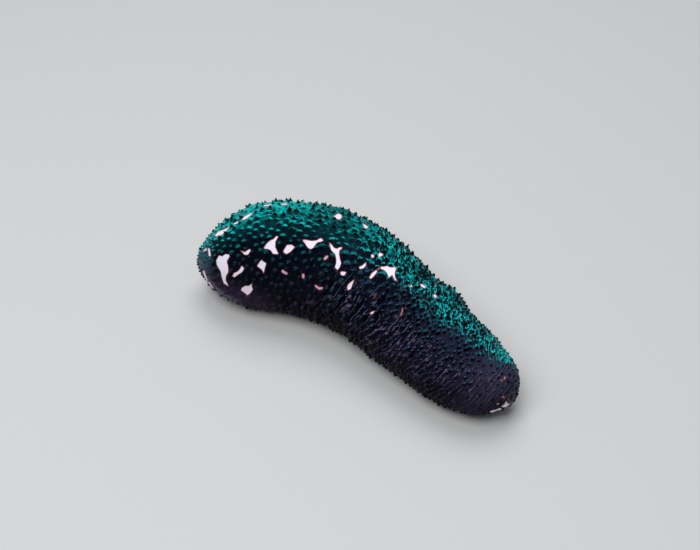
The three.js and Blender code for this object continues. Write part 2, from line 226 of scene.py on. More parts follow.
# White and reddish marks seen in the photograph, each an outline in its pixels, or a radius and a line
WHITE_MARKS = {
    "tall": [(219, 255.5), (222.4, 256.5), (225.3, 254.3), (229.6, 254.7), (229.4, 257), (226.9, 260.5),
             (228, 267), (228.2, 272), (225.7, 276), (225.4, 280.4), (228.4, 286), (223.6, 283.3),
             (222.6, 279), (220.7, 271.3), (217, 264.6), (216.4, 260.5)],
    "low_v": [(241, 250.7), (244.8, 252.2), (250, 248.9), (250.6, 250.9), (247.7, 254.7), (244.6, 254.7)],
    "bow": [(241.8, 265.7), (244, 268.4), (242.3, 271.7), (238.1, 274.4), (234.4, 277.2), (232.2, 276.4),
            (234, 273.3), (238.1, 271.3), (240.2, 268.8)],
    "diamond": [(261.3, 260), (266, 263.4), (264.7, 268), (263.6, 273.2), (262.2, 270), (257, 265.9)],
    "star": [(278.2, 236.2), (275.2, 241.4), (275, 247.2), (278.2, 254), (272.9, 253.8), (270.9, 250.5),
             (268, 248.9), (263.4, 248.6), (267.1, 243.1), (270, 240.8), (273.8, 238.9), (276, 236.2)],
    "oval": [(287, 245), (291.2, 244.6), (294.7, 247), (290.4, 251.6), (286.2, 254), (283, 251.4),
             (285, 248)],
    "tailed": [(302.2, 240), (304.9, 239.7), (311.6, 241), (316.5, 240.6), (320.7, 238), (323.4, 240.4),
               (320.7, 241.7), (317.8, 242), (315.7, 244), (313.2, 248), (310.5, 249.2), (307.6, 247.2),
               (304.9, 243.1)],
    "branched": [(329.2, 242.4), (331.7, 244.7), (333.9, 247.8), (336.4, 248.9), (338.9, 247.8),
                 (341.8, 247), (341.9, 248.6), (339.4, 250.2), (339, 253.8), (340, 259.7), (341.2, 263),
                 (339.8, 267.1), (337.6, 270), (335, 267.1), (336.4, 263.6), (336.4, 258.8),
                 (335.2, 253.8), (332.3, 251.4), (330.8, 248.9)],
    "pip": [(341.4, 271.5), (345.8, 272.1), (346.4, 273), (343.9, 275.6), (341.2, 275), (340.4, 273.3)],
    "drop": [(355, 279.2), (352.4, 283.7), (350.7, 288.7), (348, 290.2), (346.6, 288.3), (347.6, 285.2),
             (350.1, 282.7)],
    "sliver": [(366.2, 262.5), (365.8, 265.9), (363.2, 268.5), (360.1, 269), (359, 267.3), (362.1, 266.1)],
    "slant": [(376.2, 270.2), (377.3, 271.7), (373.8, 276.4), (370.8, 278.9), (369.4, 277.9), (371.7, 273.7)],
    "twin_left": [(371.5, 254.5), (373.9, 255.5), (374.2, 256.9), (372.1, 258.2), (371.2, 256.3)],
    "twin_right": [(377.3, 255.5), (380, 252.8), (383.1, 254.2), (382, 256.1), (379.1, 257)],
    "crown": [(380.6, 266.7), (383.7, 267.1), (387, 265.8), (389.5, 267.4), (392.8, 267.4), (396, 267),
              (395.8, 269.6), (394.7, 272.9), (395.1, 277.9), (397.2, 281.2), (395.1, 280.6),
              (393.6, 277.9), (392.6, 274.8), (390.6, 275.6), (389.1, 278.2), (387, 272.9),
              (384.5, 270.2), (380.6, 268.5)],
    "rounded": [(252.4, 283.4), (251.4, 286.2), (252.8, 289.5), (249.7, 293.8), (247.2, 295.1),
                (244.3, 292.8), (240.8, 290.3), (242.3, 287.6), (245.6, 286), (248.9, 285.8)],
    "roof": [(409.2, 286.9), (411.6, 284.9), (412.8, 286.7)],
    "leaf": [(420, 283.7), (422.7, 284.3), (426.6, 288.1), (423.3, 287.9), (421.2, 286.4)],
    "speck": [(432.8, 296.2), (434.6, 294.9), (437.0, 297.6), (434.8, 298.2)],
    "low_speck": [(368.8, 313.4), (371.4, 311.8), (375, 310.6), (373.8, 313.2), (371.2, 314.4)],
    "back_patch": [(333, 216.7), (338.1, 213.4), (341, 214.7), (342, 216.9), (339.8, 219.2),
                   (337.3, 219), (335.2, 217.2)],
    "back_tooth": [(362.8, 223), (365, 224.6), (368.1, 226.9), (366.3, 228.9), (364, 227.7)],
    "top_taper": [(214.3, 235.4), (217.4, 231.3), (223.6, 228.6), (229.2, 225.4), (225.7, 229.8),
                  (222.4, 233.3), (217.4, 236.6)],
    "top_dash": [(232.3, 222.8), (236.5, 221.3), (238.7, 220.5), (237.3, 222.9), (234, 223.8)],
    "top_strip": [(241.2, 219.4), (244.4, 216.2), (252.8, 212.2), (249.8, 216), (244.4, 219.4)],
    "rear_patch": [(506.8, 401.2), (508.9, 403.6), (512.6, 402.4), (510, 405.8), (506.8, 409),
                   (503, 408.8), (505.2, 406.2)],
}
WHITE_STROKES = {
    "tip_streak": (0.8, [(208.8, 249), (209.8, 255.5)]),
    "tip_dab": (0.6, [(204.6, 251), (206.4, 248.8)]),
    "edge_upper": (0.7, [(204.3, 271), (207.4, 280)]),
    "edge_lower": (0.6, [(209.1, 282), (213.2, 288)]),
    "top_far": (0.7, [(264.5, 205.9), (271, 205.3)]),
    "top_farther": (0.7, [(281.7, 204.9), (286.6, 204.2)]),
    "rear_edge": (0.9, [(491, 414.8), (498.6, 413), (502, 411.6)]),
}
ROSY_MARKS = {
    "rosy_slip": (1.6, [(327, 256.8), (325, 258.8)]),
    "rosy_grain": (1.8, [(282.9, 271.3), (286.2, 273.1)]),
    "rosy_dot": (1.6, [(303.3, 274.8), (303.4, 276.9)]),
    "rosy_low": (1.4, [(316, 285.9), (319, 288.2), (322, 288)]),
    "rosy_squiggle": (0.8, [(402.7, 308.6), (402.3, 311.8), (400.9, 315.6)]),
    "rosy_seam": (0.35, [(377.2, 293.4), (375.6, 296.4), (373.4, 298.8)]),
    "rosy_link": (0.6, [(376.8, 270.6), (380.9, 267.5)]),
    "rosy_rear_top": (1.1, [(504.6, 377.2), (503.8, 378.6)]),
    "rosy_rear_left": (0.8, [(500.2, 380.6), (502, 380)]),
    "rosy_rear_mid": (0.9, [(503, 397.6), (504.2, 397.2)]),
    "rosy_rear_low": (1.0, [(498.4, 405.6), (499.6, 405)]),
}
PALE_MARGIN = {
    "front_margin": (4.4, [(199, 262), (203.5, 273), (210, 284), (220, 294), (234, 301)]),
}

# Marks on the far flank: station, turn round the body, length and width in mm, and turn on the skin
FAR_MARKS = [
    (0.07, 0.45, 12, 6, 1.2), (0.12, 0.95, 6, 4, 0.3), (0.15, 0.12, 9, 5, -0.7), (0.19, -0.3, 8, 6, 0.2),
    (0.23, 0.62, 12, 5, 0.5), (0.28, 0.08, 7, 4, -1.0), (0.33, 0.8, 6, 4, 0.0), (0.36, 0.33, 15, 6, 1.4),
    (0.43, -0.1, 6, 4, 0.9), (0.47, 0.55, 11, 6, -0.3), (0.54, 0.2, 8, 3, 1.0), (0.6, 0.4, 6, 3, 0.3),
    (0.7, 0.35, 5, 3, -0.5), (0.83, 0.5, 5, 3, 0.7),
]

# Bosses seen round the marks: place in pixels and radius in mm
SEEN_BOSSES = [
    (222.4, 253.3, 2.0), (228.2, 262.1, 2.4), (228.4, 277.9, 2.6), (238.9, 257.6, 2.6), (235.2, 265.0, 2.6),
    (243.9, 260.5, 2.3), (249.7, 257.2, 2.4), (255.9, 247.2, 2.6), (261.3, 238.1, 2.5), (267.1, 234.8, 2.3),
    (248.9, 235.2, 2.4), (265.1, 253.8, 2.9), (280.0, 243.9, 3.0), (272.9, 261.5, 3.0), (281.2, 258.8, 2.5),
    (287.9, 263.8, 2.6), (295.3, 270.4, 2.9), (294.9, 237.7, 2.6), (300.7, 247.8, 2.8), (256.4, 287.0, 2.6),
    (244.3, 243.1, 2.6), (234.0, 242.2, 2.5), (228.2, 240.6, 2.3), (252.2, 270.4, 2.7), (261.3, 281.2, 2.8),
    (272.9, 276.2, 2.6), (276.3, 287.0, 2.6), (247.0, 279.5, 2.4), (212.8, 251.4, 1.9), (210.4, 260.5, 2.0),
    (214.9, 270.4, 2.4), (217.0, 278.0, 2.2), (231.5, 291.2, 2.4), (321.5, 247.8, 3.1), (327.7, 247.6, 2.7),
    (332.9, 258.0, 3.3), (336.0, 241.2, 2.7), (340.8, 238.9, 2.5), (344.6, 255.5, 3.4), (346.6, 266.3, 3.4),
    (353.8, 256.3, 2.8), (329.6, 266.6, 2.8), (319.9, 262.1, 2.7), (309.9, 254.2, 2.9), (304.9, 263.0, 2.9),
    (353.8, 272.1, 3.0), (360.2, 275.2, 2.7), (360.8, 260.3, 2.5), (372.1, 265.0, 2.7), (366.6, 273.0, 2.4),
    (378.7, 261.3, 2.9), (386.0, 259.4, 2.8), (392.2, 261.2, 2.8), (381.2, 276.6, 4.8), (391.6, 279.2, 3.0),
    (400.0, 269.6, 2.8), (341.9, 282.4, 3.0), (367.1, 284.5, 3.0), (374.3, 283.2, 2.5), (346.6, 296.0, 2.6),
]

# Creases seen on the near flank, in pixels, with depth in mm
SEEN_CREASES = [
    (1.3, [(355, 279.5), (346, 291), (339, 304), (330, 321)]),
    (1.1, [(336.5, 274), (329, 289), (322, 300), (312, 311)]),
    (1.2, [(392, 283), (383, 300), (370, 313), (360, 326)]),
    (1.0, [(398, 282), (392, 296), (383, 308), (372, 330)]),
    (0.9, [(368, 288), (360, 304), (350, 318), (344, 333)]),
    (1.0, [(420, 305), (408, 321), (392, 336), (378, 356)]),
    (0.9, [(440, 325), (424, 345), (408, 362), (396, 374)]),
    (0.9, [(300, 295), (290, 304), (281, 310)]),
]

# Swellings and dips seen in the outline: place in pixels, rise and reach in mm
SEEN_SWELLINGS = [
    ((458, 292), 4.6, 15), ((427, 275), -4.2, 10), ((198, 258), 1.6, 14), ((516, 372), 1.8, 14),
    ((232, 217), -2.0, 12), ((343, 208), 2.0, 10), ((498, 412), -2.4, 11),
]


def distance_to_line(pixels, line):
    """Distance from each place to a bent line, in pixels."""
    nearest = np.full(len(pixels), np.inf)
    for start, end in zip(np.array(line[:-1], float), np.array(line[1:], float)):
        along = end - start
        share = np.clip((pixels - start) @ along / (along @ along), 0, 1)
        gap = np.linalg.norm(pixels - start - share[:, None] * along, axis=1)
        nearest = np.minimum(nearest, gap)
    return nearest


def depth_in_outline(pixels, outline):
    """Distance from each place to an outline in pixels, above zero inside it."""
    inside = np.zeros(len(pixels), bool)
    for (x0, y0), (x1, y1) in zip(outline, outline[1:] + outline[:1]):
        if y0 != y1:
            crosses = (pixels[:, 1] > y0) != (pixels[:, 1] > y1)
            at = x0 + (pixels[:, 1] - y0) * (x1 - x0) / (y1 - y0)
            inside ^= crosses & (pixels[:, 0] < at)
    gap = distance_to_line(pixels, outline + outline[:1])
    return np.where(inside, gap, -gap)


# Skin: a grid of rings and ring points of the smooth body, and arrays with one row for each vertex


class Skin:
    """Rings of the smooth body, from the front tip to the rear tip but without the tips themselves."""

    def __init__(self):
        fine = (1 - np.cos(np.linspace(0, np.pi, STATION_STEPS))) / 2
        self.stations = evenly(surface_point(fine, math.pi / 2), fine, SKIN_RINGS + 1)[1:-1]
        turns = np.linspace(-math.pi / 2, 1.5 * math.pi, TURN_STEPS)
        ring = surface_point(TYPICAL_STATION, turns)
        density = np.where(ring[1:, 2] < UNDERSIDE_LEVEL, UNDERSIDE_SHARE, 1.0)
        self.turns = evenly(ring, turns, RING_POINTS + 1, density)[:-1]
        self.base = surface_point(self.stations[:, None], self.turns[None, :])
        self.shape = self.base.shape[:2]
        self.tips = surface_point(np.array([0.0, 1.0]), 0.0)
        self.normal = self.normals_of(self.base)

    def normals_of(self, grid):
        """Outward normals of a grid, from its neighbours."""
        front, rear = (np.broadcast_to(tip, grid[:1].shape) for tip in self.tips)
        padded = np.concatenate([front, grid, rear])
        along = padded[2:] - padded[:-2]
        across = np.roll(grid, -1, axis=1) - np.roll(grid, 1, axis=1)
        return unit(np.cross(across, along))

    def sample(self, values, rows, columns):
        """Numbers or vectors given for each vertex, read at fractional rows and columns."""
        grid = np.reshape(values, self.base.shape if np.size(values) == self.base.size else self.shape)
        rows = np.clip(rows, 0, grid.shape[0] - 1.001)
        r, c = np.floor(rows).astype(int), np.floor(columns).astype(int)
        fr, fc = rows - r, columns - c
        if grid.ndim == 3:
            fr, fc = fr[:, None], fc[:, None]
        c0, c1 = c % grid.shape[1], (c + 1) % grid.shape[1]
        near = grid[r, c0] * (1 - fc) + grid[r, c1] * fc
        far = grid[r + 1, c0] * (1 - fc) + grid[r + 1, c1] * fc
        return near * (1 - fr) + far * fr

    def unwrap(self, rows, columns):
        """Place on the unwrap of the body: along it and round it, both clear of its edges."""
        shares = np.stack([(rows + 1) / SKIN_RINGS, columns / RING_POINTS], axis=-1)
        return UNWRAP_EDGE + UNWRAP_SPAN * shares


skin = Skin()
flat_base = skin.base.reshape(-1, 3)
flat_normal = skin.normal.reshape(-1, 3)
station_of = np.repeat(skin.stations, RING_POINTS)
pixels_of = to_pixels(flat_base)
to_camera = unit(camera_place - flat_base)
seen = np.sum(flat_normal * to_camera, axis=1) > LEAST_SEEN
off_sole = smooth(flat_base[:, 2], *OFF_SOLE)


def depth_below_back():
    """Length round the body from the middle of the back to each vertex, in mm."""
    steps = np.linalg.norm(np.roll(skin.base, -1, axis=1) - skin.base, axis=2)
    length = np.cumsum(steps, axis=1) - steps
    top = np.argmin(np.abs(skin.turns - math.pi / 2))
    return np.abs(length - length[:, top : top + 1]).ravel() / MM


# Folds of the flank run along planes across the rear body as the camera sees it, and bow a little
FOLD_LEAN = math.radians(40)
FOLD_BOW = 0.0035
fold_across = math.cos(FOLD_LEAN) * camera_right - math.sin(FOLD_LEAN) * camera_up
fold_down = -math.sin(FOLD_LEAN) * camera_right - math.cos(FOLD_LEAN) * camera_up
middle = np.column_stack([*beside_line(station_of, 0), section_at(station_of)[3]])
down_folds = (flat_base - middle) @ fold_down / MM
across_folds = flat_base @ fold_across / MM + FOLD_BOW * down_folds**2
fold_direction = unit(np.cross(flat_normal, fold_across))
below_back = depth_below_back()

# Depth of the places far from every mark, and how far the larger and smaller lobes of a far mark stand out
OUTSIDE = -50.0
LOBE_DEPTH = 0.34
SMALL_LOBE_DEPTH = 0.16


def seen_marks(outlines, strokes):
    """Depth in the marks of the photograph, in mm, below zero outside them."""
    depth = np.full(len(flat_base), OUTSIDE)
    places = pixels_of[seen]
    best = depth[seen]
    for outline in outlines.values():
        best = np.maximum(best, depth_in_outline(places, outline))
    for radius, line in strokes.values():
        best = np.maximum(best, radius - distance_to_line(places, line))
    depth[seen] = best
    return depth * PIXEL / MM


def far_marks():
    """Depth in the marks of the far flank, in mm: three-lobed blotches."""
    depth = np.full(len(flat_base), OUTSIDE)
    for number, (station, turn, length, width, spin) in enumerate(FAR_MARKS):
        offset = (flat_base - surface_point(station, turn)) / MM
        near = np.flatnonzero(np.linalg.norm(offset, axis=1) < length)
        offset = offset[near]
        heading = heading_at(station)
        ahead = np.array([math.cos(heading), math.sin(heading), 0])
        normal = flat_normal[near[np.argmin(np.linalg.norm(offset, axis=1))]]
        along, across = offset @ ahead, offset @ unit(np.cross(normal, ahead))
        x = (along * math.cos(spin) + across * math.sin(spin)) / length
        y = (across * math.cos(spin) - along * math.sin(spin)) / width
        angle = np.arctan2(y, x)
        lobes = 1 + LOBE_DEPTH * np.cos(3 * angle + number)
        lobes += SMALL_LOBE_DEPTH * np.cos(5 * angle + 2 * number)
        depth[near] = np.maximum(depth[near], (lobes - 2 * np.hypot(x, y)) * width / 3)
    return depth


def nearest_seen(x, y):
    """Vertex of the near side that the camera sees nearest to a pixel."""
    gap = np.where(seen, np.hypot(pixels_of[:, 0] - x, pixels_of[:, 1] - y), np.inf)
    return int(np.argmin(gap))


# Way that the painted teal sheen faces, as light from above: up, and a little towards the far side. Both ends
# share in it by SHEEN_SPREAD
SHEEN_TILT = math.radians(29)
SHEEN_TURN = CAMERA_AZIMUTH + math.radians(12)
SHEEN_WAY = Vector((
    -math.sin(SHEEN_TURN) * math.sin(SHEEN_TILT),
    math.cos(SHEEN_TURN) * math.sin(SHEEN_TILT),
    math.cos(SHEEN_TILT),
))
SHEEN_SIDE = Vector(camera_right)
SHEEN_SPREAD = 0.4
MARGIN_FADE = 1.6

side_facing = flat_normal @ camera_right
body_facing = flat_normal @ np.array(SHEEN_WAY) + SHEEN_SPREAD * side_facing**2
white_depth = np.maximum(seen_marks(WHITE_MARKS, WHITE_STROKES), far_marks())
rosy_depth = seen_marks({}, ROSY_MARKS)
pale_margin = smooth(seen_marks({}, PALE_MARGIN), 0, MARGIN_FADE)


# Places of the papillae: darts thrown one by one, kept where they leave the ones before them room.
# Clearances of marks are in mm, those of openings in radii, and spacings in mm
CANDIDATES = 90000
LOWEST_PAPILLA = 6.5 * MM
MARK_CLEARANCE = 0.9
TIP_REACH = 0.075
SPACING_TIP = 2.5
SPACING_FRONT = 5.7
SPACING_MIDDLE = 5.0
SPACING_REAR_BACK = 3.1
SPACING_REAR_FLANK = 3.6
SPACING_END = 4.2
OPENING_CLEARANCE = 1.1
SEEN_BOSS_ROOM = 1.55


def spacing_at(station, upward):
    """Room between papillae in mm, least at the front tip and over the rear of the back."""
    front = mix(SPACING_FRONT, SPACING_MIDDLE, smooth(station, 0.1, 0.4))
    rear = mix(SPACING_REAR_FLANK, SPACING_REAR_BACK, smooth(upward, 0.3, 0.7))
    rear = mix(rear, SPACING_END, smooth(station, 0.86, 0.96))
    along = mix(front, rear, smooth(station, 0.52, 0.76))
    return mix(SPACING_TIP, along, smooth(station, 0, TIP_REACH))


def opening_frame(opening):
    """Centre of an opening on the smooth body, the way that it faces, and two ways across it."""
    step = 0.002
    station = min(max(opening["station"], step), 1 - step)
    around = opening["around"]
    ahead = surface_point(station + step, around) - surface_point(station - step, around)
    across = surface_point(station, around + step) - surface_point(station, around - step)
    outwards = unit(np.cross(across, ahead))
    right = unit(np.cross(outwards, [0.0, 0.0, 1.0]))
    return surface_point(opening["station"], around), outwards, right, np.cross(outwards, right)


def search_tree(places):
    tree = kdtree.KDTree(len(places))
    for i, place in enumerate(places):
        tree.insert(place, i)
    tree.balance()
    return tree


def scatter_papillae():
    """Rows and columns of the papillae on the skin grid, the seen bosses first, with their radii."""
    random = np.random.default_rng(SKIN_SEED)
    rows, columns = np.divmod([nearest_seen(x, y) for x, y, _ in SEEN_BOSSES], RING_POINTS)
    rows = np.append(rows, random.uniform(0, SKIN_RINGS - 2, CANDIDATES))
    columns = np.append(columns, random.uniform(0, RING_POINTS, CANDIDATES))
    radii = np.append([radius for _, _, radius in SEEN_BOSSES], np.zeros(CANDIDATES))
    places = skin.sample(skin.base, rows, columns)
    upward = skin.sample(skin.normal, rows, columns)[:, 2]
    room = spacing_at(skin.sample(station_of, rows, columns), upward)
    room = np.where(radii > 0, SEEN_BOSS_ROOM * radii, room) * MM
    marked = skin.sample(np.maximum(white_depth, rosy_depth), rows, columns)
    free = (radii > 0) | ((places[:, 2] > LOWEST_PAPILLA) & (marked < -MARK_CLEARANCE))
    for opening in (MOUTH, VENT):
        centre = opening_frame(opening)[0]
        free &= np.linalg.norm(places - centre, axis=1) > OPENING_CLEARANCE * opening["radius"]
    tree = search_tree(places)
    kept = []
    for i in range(len(places)):
        if free[i]:
            kept.append(i)
            for _, other, _ in tree.find_range(places[i], room[i]):
                free[other] = False
    return rows[kept], columns[kept], radii[kept], random


papilla_rows, papilla_columns, boss_radii, papilla_random = scatter_papillae()
papilla_count = len(papilla_rows)


def at_roots(values):
    """Numbers or vectors given for each vertex of the skin, read at the roots of the papillae."""
    return skin.sample(values, papilla_rows, papilla_columns)


def size_change(spread, least, most):
    """A chance change of size for each papilla, as a factor."""
    return np.clip(np.exp(papilla_random.normal(0, spread, papilla_count)), least, most)


roots = at_roots(skin.base)
root_normals = unit(at_roots(skin.normal))
root_stations = at_roots(station_of)
root_across = unit(at_roots(fold_direction))
root_facing = at_roots(body_facing)
papilla_size = size_change(0.2, 0.6, 1.4)

# How far each papilla is one of the back, the rear, the front tip and the rear end, from 0 to 1
on_back = smooth(root_facing, 0.68, 0.86) * smooth(root_normals[:, 2], 0.4, 0.7)
on_rear = smooth(root_stations, 0.48, 0.74)
on_tip = 1 - smooth(root_stations, 0.02, TIP_REACH)
on_end = smooth(root_stations, 0.86, 0.96)
is_seen = boss_radii > 0

# Height and radius of the bosses in mm, and the powers that shape their domes and their points
BOSS_FLANK = (1.55, 2.65)
BOSS_BACK = (1.0, 3.3)
BOSS_REAR_FLANK = (0.75, 1.7)
BOSS_REAR_BACK = (0.75, 2.1)
BOSS_END = (0.25, 1.5)
BOSS_TIP = (0.75, 1.45)
BOSS_STRETCH_REAR = 1.7
SEEN_BOSS_RISE = 0.6
SEEN_BOSS_SPREAD = 1.12
DOME_POWER = 1.1
POINT_POWER = 1.6


def boss_sizes(number):
    """Height (0) or radius (1) of the boss under each papilla, in mm."""
    front = mix(BOSS_FLANK[number], BOSS_BACK[number], on_back)
    rear = mix(BOSS_REAR_FLANK[number], BOSS_REAR_BACK[number], on_back)
    along = mix(mix(front, rear, on_rear), BOSS_END[number], on_end)
    return mix(along, BOSS_TIP[number], on_tip) * papilla_size


boss_height = np.where(is_seen, SEEN_BOSS_RISE * boss_radii, boss_sizes(0))
boss_radius = np.where(is_seen, SEEN_BOSS_SPREAD * boss_radii, boss_sizes(1))
boss_stretch = mix(1, BOSS_STRETCH_REAR, on_rear * (1 - on_back))


def raise_bosses():
    """Height of the bosses over the smooth body in mm, one under each papilla."""
    tree = search_tree(flat_base)
    height = np.zeros(len(flat_base))
    for i in range(papilla_count):
        reach = boss_radius[i] * boss_stretch[i] * MM
        near = np.array([found[1] for found in tree.find_range(roots[i], reach)], int)
        if len(near):
            offset = (flat_base[near] - roots[i]) / MM
            across = offset @ root_across[i]
            rest = np.sqrt(np.maximum(np.sum(offset * offset, axis=1) - across**2, 0))
            share = np.hypot(across / boss_stretch[i], rest) / boss_radius[i]
            dome = np.clip(1 - share**2, 0, 1) ** DOME_POWER
            point = np.clip(1 - share, 0, 1) ** POINT_POWER
            height[near] = np.maximum(height[near], boss_height[i] * mix(dome, point, on_back[i]))
    return height


# Folds: ridges round the body, strongest low on the flank and over the rear two thirds
FOLD_SPACING_FRONT = 4.8
FOLD_SPACING_REAR = 2.9
FOLDS_TIGHTEN = (0.5, 0.85)
FOLD_STEEPNESS = 0.19
FOLD_PIECE = 7.0
FOLD_PIECE_CHANGE = 3.7
FAINT_FOLD = 0.4
FOLD_SHARPNESS = 1.4
FOLD_GROUND = 0.35

# Noise of the folds' course, of the skin's ripple and of its net: height, size and seed
FOLD_WANDER = ((0.6, 26 * MM, 3), (0.24, 7 * MM, 4))
FOLD_PIECES_SEED = 5
LUMPS = (0.6, 30 * MM, 6)
RIPPLE = (0.16, 3.2 * MM, 7)
NETS = ((0.4, 3.4 * MM, 8), (0.25, 2.4 * MM, 9))
NET_HEIGHT = 0.36

# Creases: width in mm, fade at the ends in pixels, the depth that is painted fully black as shade, and the
# painted shade of other places where the skin is pushed in
CREASE_WIDTH = 2.2
CREASE_FADE = 9
CREASE_SHADE = 1.3
HOLLOW_SHADE = 0.4

# Collar of folds round an opening: its reach in radii, its folds and its level in mm, and the pit's depth
COLLAR_REACH = 2.1
COLLAR_FOLD = 0.22
COLLAR_DROP = 0.35
PIT_DEPTH = 1.5


def rough(height, size, seed):
    """Smooth noise of a height on the skin."""
    return height * noise(flat_base, size, seed)


def fold_fields():
    """Phase of the folds in turns, their strength from 0 to 1 and their height in mm."""
    reach = np.arange(across_folds.min() - 1, across_folds.max() + 2)
    line_across = (line_x * fold_across[0] + line_y * fold_across[1]) / MM
    start, end = np.interp(FOLDS_TIGHTEN, line_stations, line_across)
    spacing = mix(FOLD_SPACING_FRONT, FOLD_SPACING_REAR, smooth(reach, start, end))
    phase = np.interp(across_folds, reach, np.cumsum(1 / spacing))
    for height, size, seed in FOLD_WANDER:
        phase = phase + rough(height, size, seed)
    cells = [np.round(phase) * FOLD_PIECE_CHANGE, down_folds / FOLD_PIECE, np.zeros(len(phase))]
    pieces = smooth(noise(np.column_stack(cells), 1.0, FOLD_PIECES_SEED), -0.35, 0.3)
    side = 1 - smooth(flat_normal[:, 2], 0.5, 0.92)
    low_front = 0.5 * smooth(0.45 - flat_normal[:, 2], 0.0, 0.7) * smooth(station_of, 0.22, 0.4)
    strength = side * np.maximum(smooth(station_of, 0.38, 0.62), low_front) * off_sole
    strength = strength * mix(FAINT_FOLD, 1, pieces)
    return phase, strength, FOLD_STEEPNESS * np.interp(across_folds, reach, spacing) * strength


def crease_depth():
    """Depth of the seen creases in mm, which fade towards their ends."""
    depth = np.zeros(len(flat_base))
    places = pixels_of[seen]
    cut = depth[seen]
    for deepest, line in SEEN_CREASES:
        gap = distance_to_line(places, line) * PIXEL / MM
        ends = np.min([np.linalg.norm(places - end, axis=1) for end in (line[0], line[-1])], axis=0)
        profile = np.exp(-((2 * gap / CREASE_WIDTH) ** 2))
        cut = np.maximum(cut, deepest * profile * smooth(ends, 0, CREASE_FADE))
    depth[seen] = cut
    return depth


def opening_dip(opening):
    """Inward push round an opening in mm, with folds that run into it."""
    centre, outwards, right, up = opening_frame(opening)
    offset = flat_base - centre
    level = offset @ outwards
    side = offset - level[:, None] * outwards
    share = np.linalg.norm(side, axis=1) / opening["radius"]
    share = np.where(np.abs(level) < 2 * opening["radius"], share, np.inf)
    turn = np.arctan2(side @ up, side @ right)
    dip = opening["depth"] / MM * PIT_DEPTH * (1 - smooth(share, 0.35, 1.12))
    collar = smooth(share, 0.8, 1.1) * (1 - smooth(share, 1.2, COLLAR_REACH))
    return dip + collar * (COLLAR_FOLD * np.cos(opening["folds"] * turn) - COLLAR_DROP)


def swellings():
    """Broad swellings and dips of the outline, in mm."""
    height = np.zeros(len(flat_base))
    for (x, y), rise, reach in SEEN_SWELLINGS:
        gap = np.linalg.norm(flat_base - flat_base[nearest_seen(x, y)], axis=1) / MM
        height += rise * np.exp(-((gap / reach) ** 2))
    return height


fold_phase, fold_crest, fold_height = fold_fields()
fold_ridge = (1 - np.abs(np.sin(math.pi * fold_phase))) ** FOLD_SHARPNESS
creases = crease_depth()
net_share = smooth(station_of, 0.3, 0.66) * smooth(flat_normal[:, 2], 0.1, 0.6)
net = sum(height - 2 * np.abs(rough(height, size, seed)) for height, size, seed in NETS)
ripple = rough(*RIPPLE) + NET_HEIGHT * net_share * net
off_mark = smooth(-white_depth, -0.4, 1.6)
push = (rough(*LUMPS) + ripple + fold_height * (fold_ridge - FOLD_GROUND)) * off_sole
push = push + raise_bosses() * off_mark - creases * off_sole + swellings()
for opening in (MOUTH, VENT):
    push = push - opening_dip(opening)
flat_places = flat_base + flat_normal * (push * MM)[:, None]
flat_places[:, 2] = np.maximum(flat_places[:, 2], LOWEST_SKIN)
skin_places = flat_places.reshape(skin.base.shape)
shown_normal = skin.normals_of(skin_places)

# What the marks and the painted light read from the skin and from the roots of its papillae
MARK_AND_LIGHT_FIELDS = dict(
    station=station_of, body_facing=body_facing, side_facing=side_facing, white=white_depth,
    rosy=rosy_depth, below=below_back,
)


# Meshes from arrays


def link(name, mesh):
    piece = bpy.data.objects.new(name, mesh)
    scene.collection.objects.link(piece)
    return piece


def set_attribute(mesh, name, values):
    attribute = mesh.attributes.new(name, "FLOAT", "POINT")
    attribute.data.foreach_set("value", np.asarray(values, np.float32).ravel())


def set_vectors(mesh, name, values):
    attribute = mesh.attributes.new(name, "FLOAT_VECTOR", "POINT")
    attribute.data.foreach_set("vector", np.asarray(values, np.float32).ravel())


def closed_mesh(name, grid, ends):
    """A closed mesh of rings of points, with a fan at each end to its middle. The middles come last."""
    rings, sides = grid.shape[:2]
    index = np.arange(rings * sides).reshape(rings, sides)
    after = np.roll(index, -1, axis=1)
    quads = np.stack([index[:-1], after[:-1], after[1:], index[1:]], axis=-1).reshape(-1, 4)
    first_fan = np.stack([np.full(sides, rings * sides), after[0], index[0]], axis=-1)
    last_fan = np.stack([np.full(sides, rings * sides + 1), index[-1], after[-1]], axis=-1)
    places = np.concatenate([grid.reshape(-1, 3), ends])
    mesh = bpy.data.meshes.new(name)
    mesh.from_pydata(places.tolist(), [], quads.tolist() + first_fan.tolist() + last_fan.tolist())
    return mesh


def unwrap_skin(mesh):
    """The unwrap of the skin, cut along the middle of the sole, with each end's middle as a row of points."""
    corners = np.empty(len(mesh.loops), int)
    mesh.loops.foreach_get("vertex_index", corners)
    uv = skin.unwrap(*np.divmod(corners, RING_POINTS))
    fan_corners = 2 * RING_POINTS * 3
    quads = uv[:-fan_corners].reshape(-1, 4, 2)
    quads[quads[:, 0, 1] > quads[:, 1, 1] + 0.5, 1:3, 1] += UNWRAP_SPAN
    fans = uv[-fan_corners:].reshape(2, RING_POINTS, 3, 2)
    halfway = np.arange(RING_POINTS) + 0.5
    for fan, row, after in ((fans[0], -1, 1), (fans[1], SKIN_RINGS - 1, 2)):
        fan[:, 0] = skin.unwrap(np.full(RING_POINTS, row), halfway)
        fan[-1, after, 1] += UNWRAP_SPAN
    mesh.uv_layers.new(name="OFBake").data.foreach_set("uv", uv.ravel())


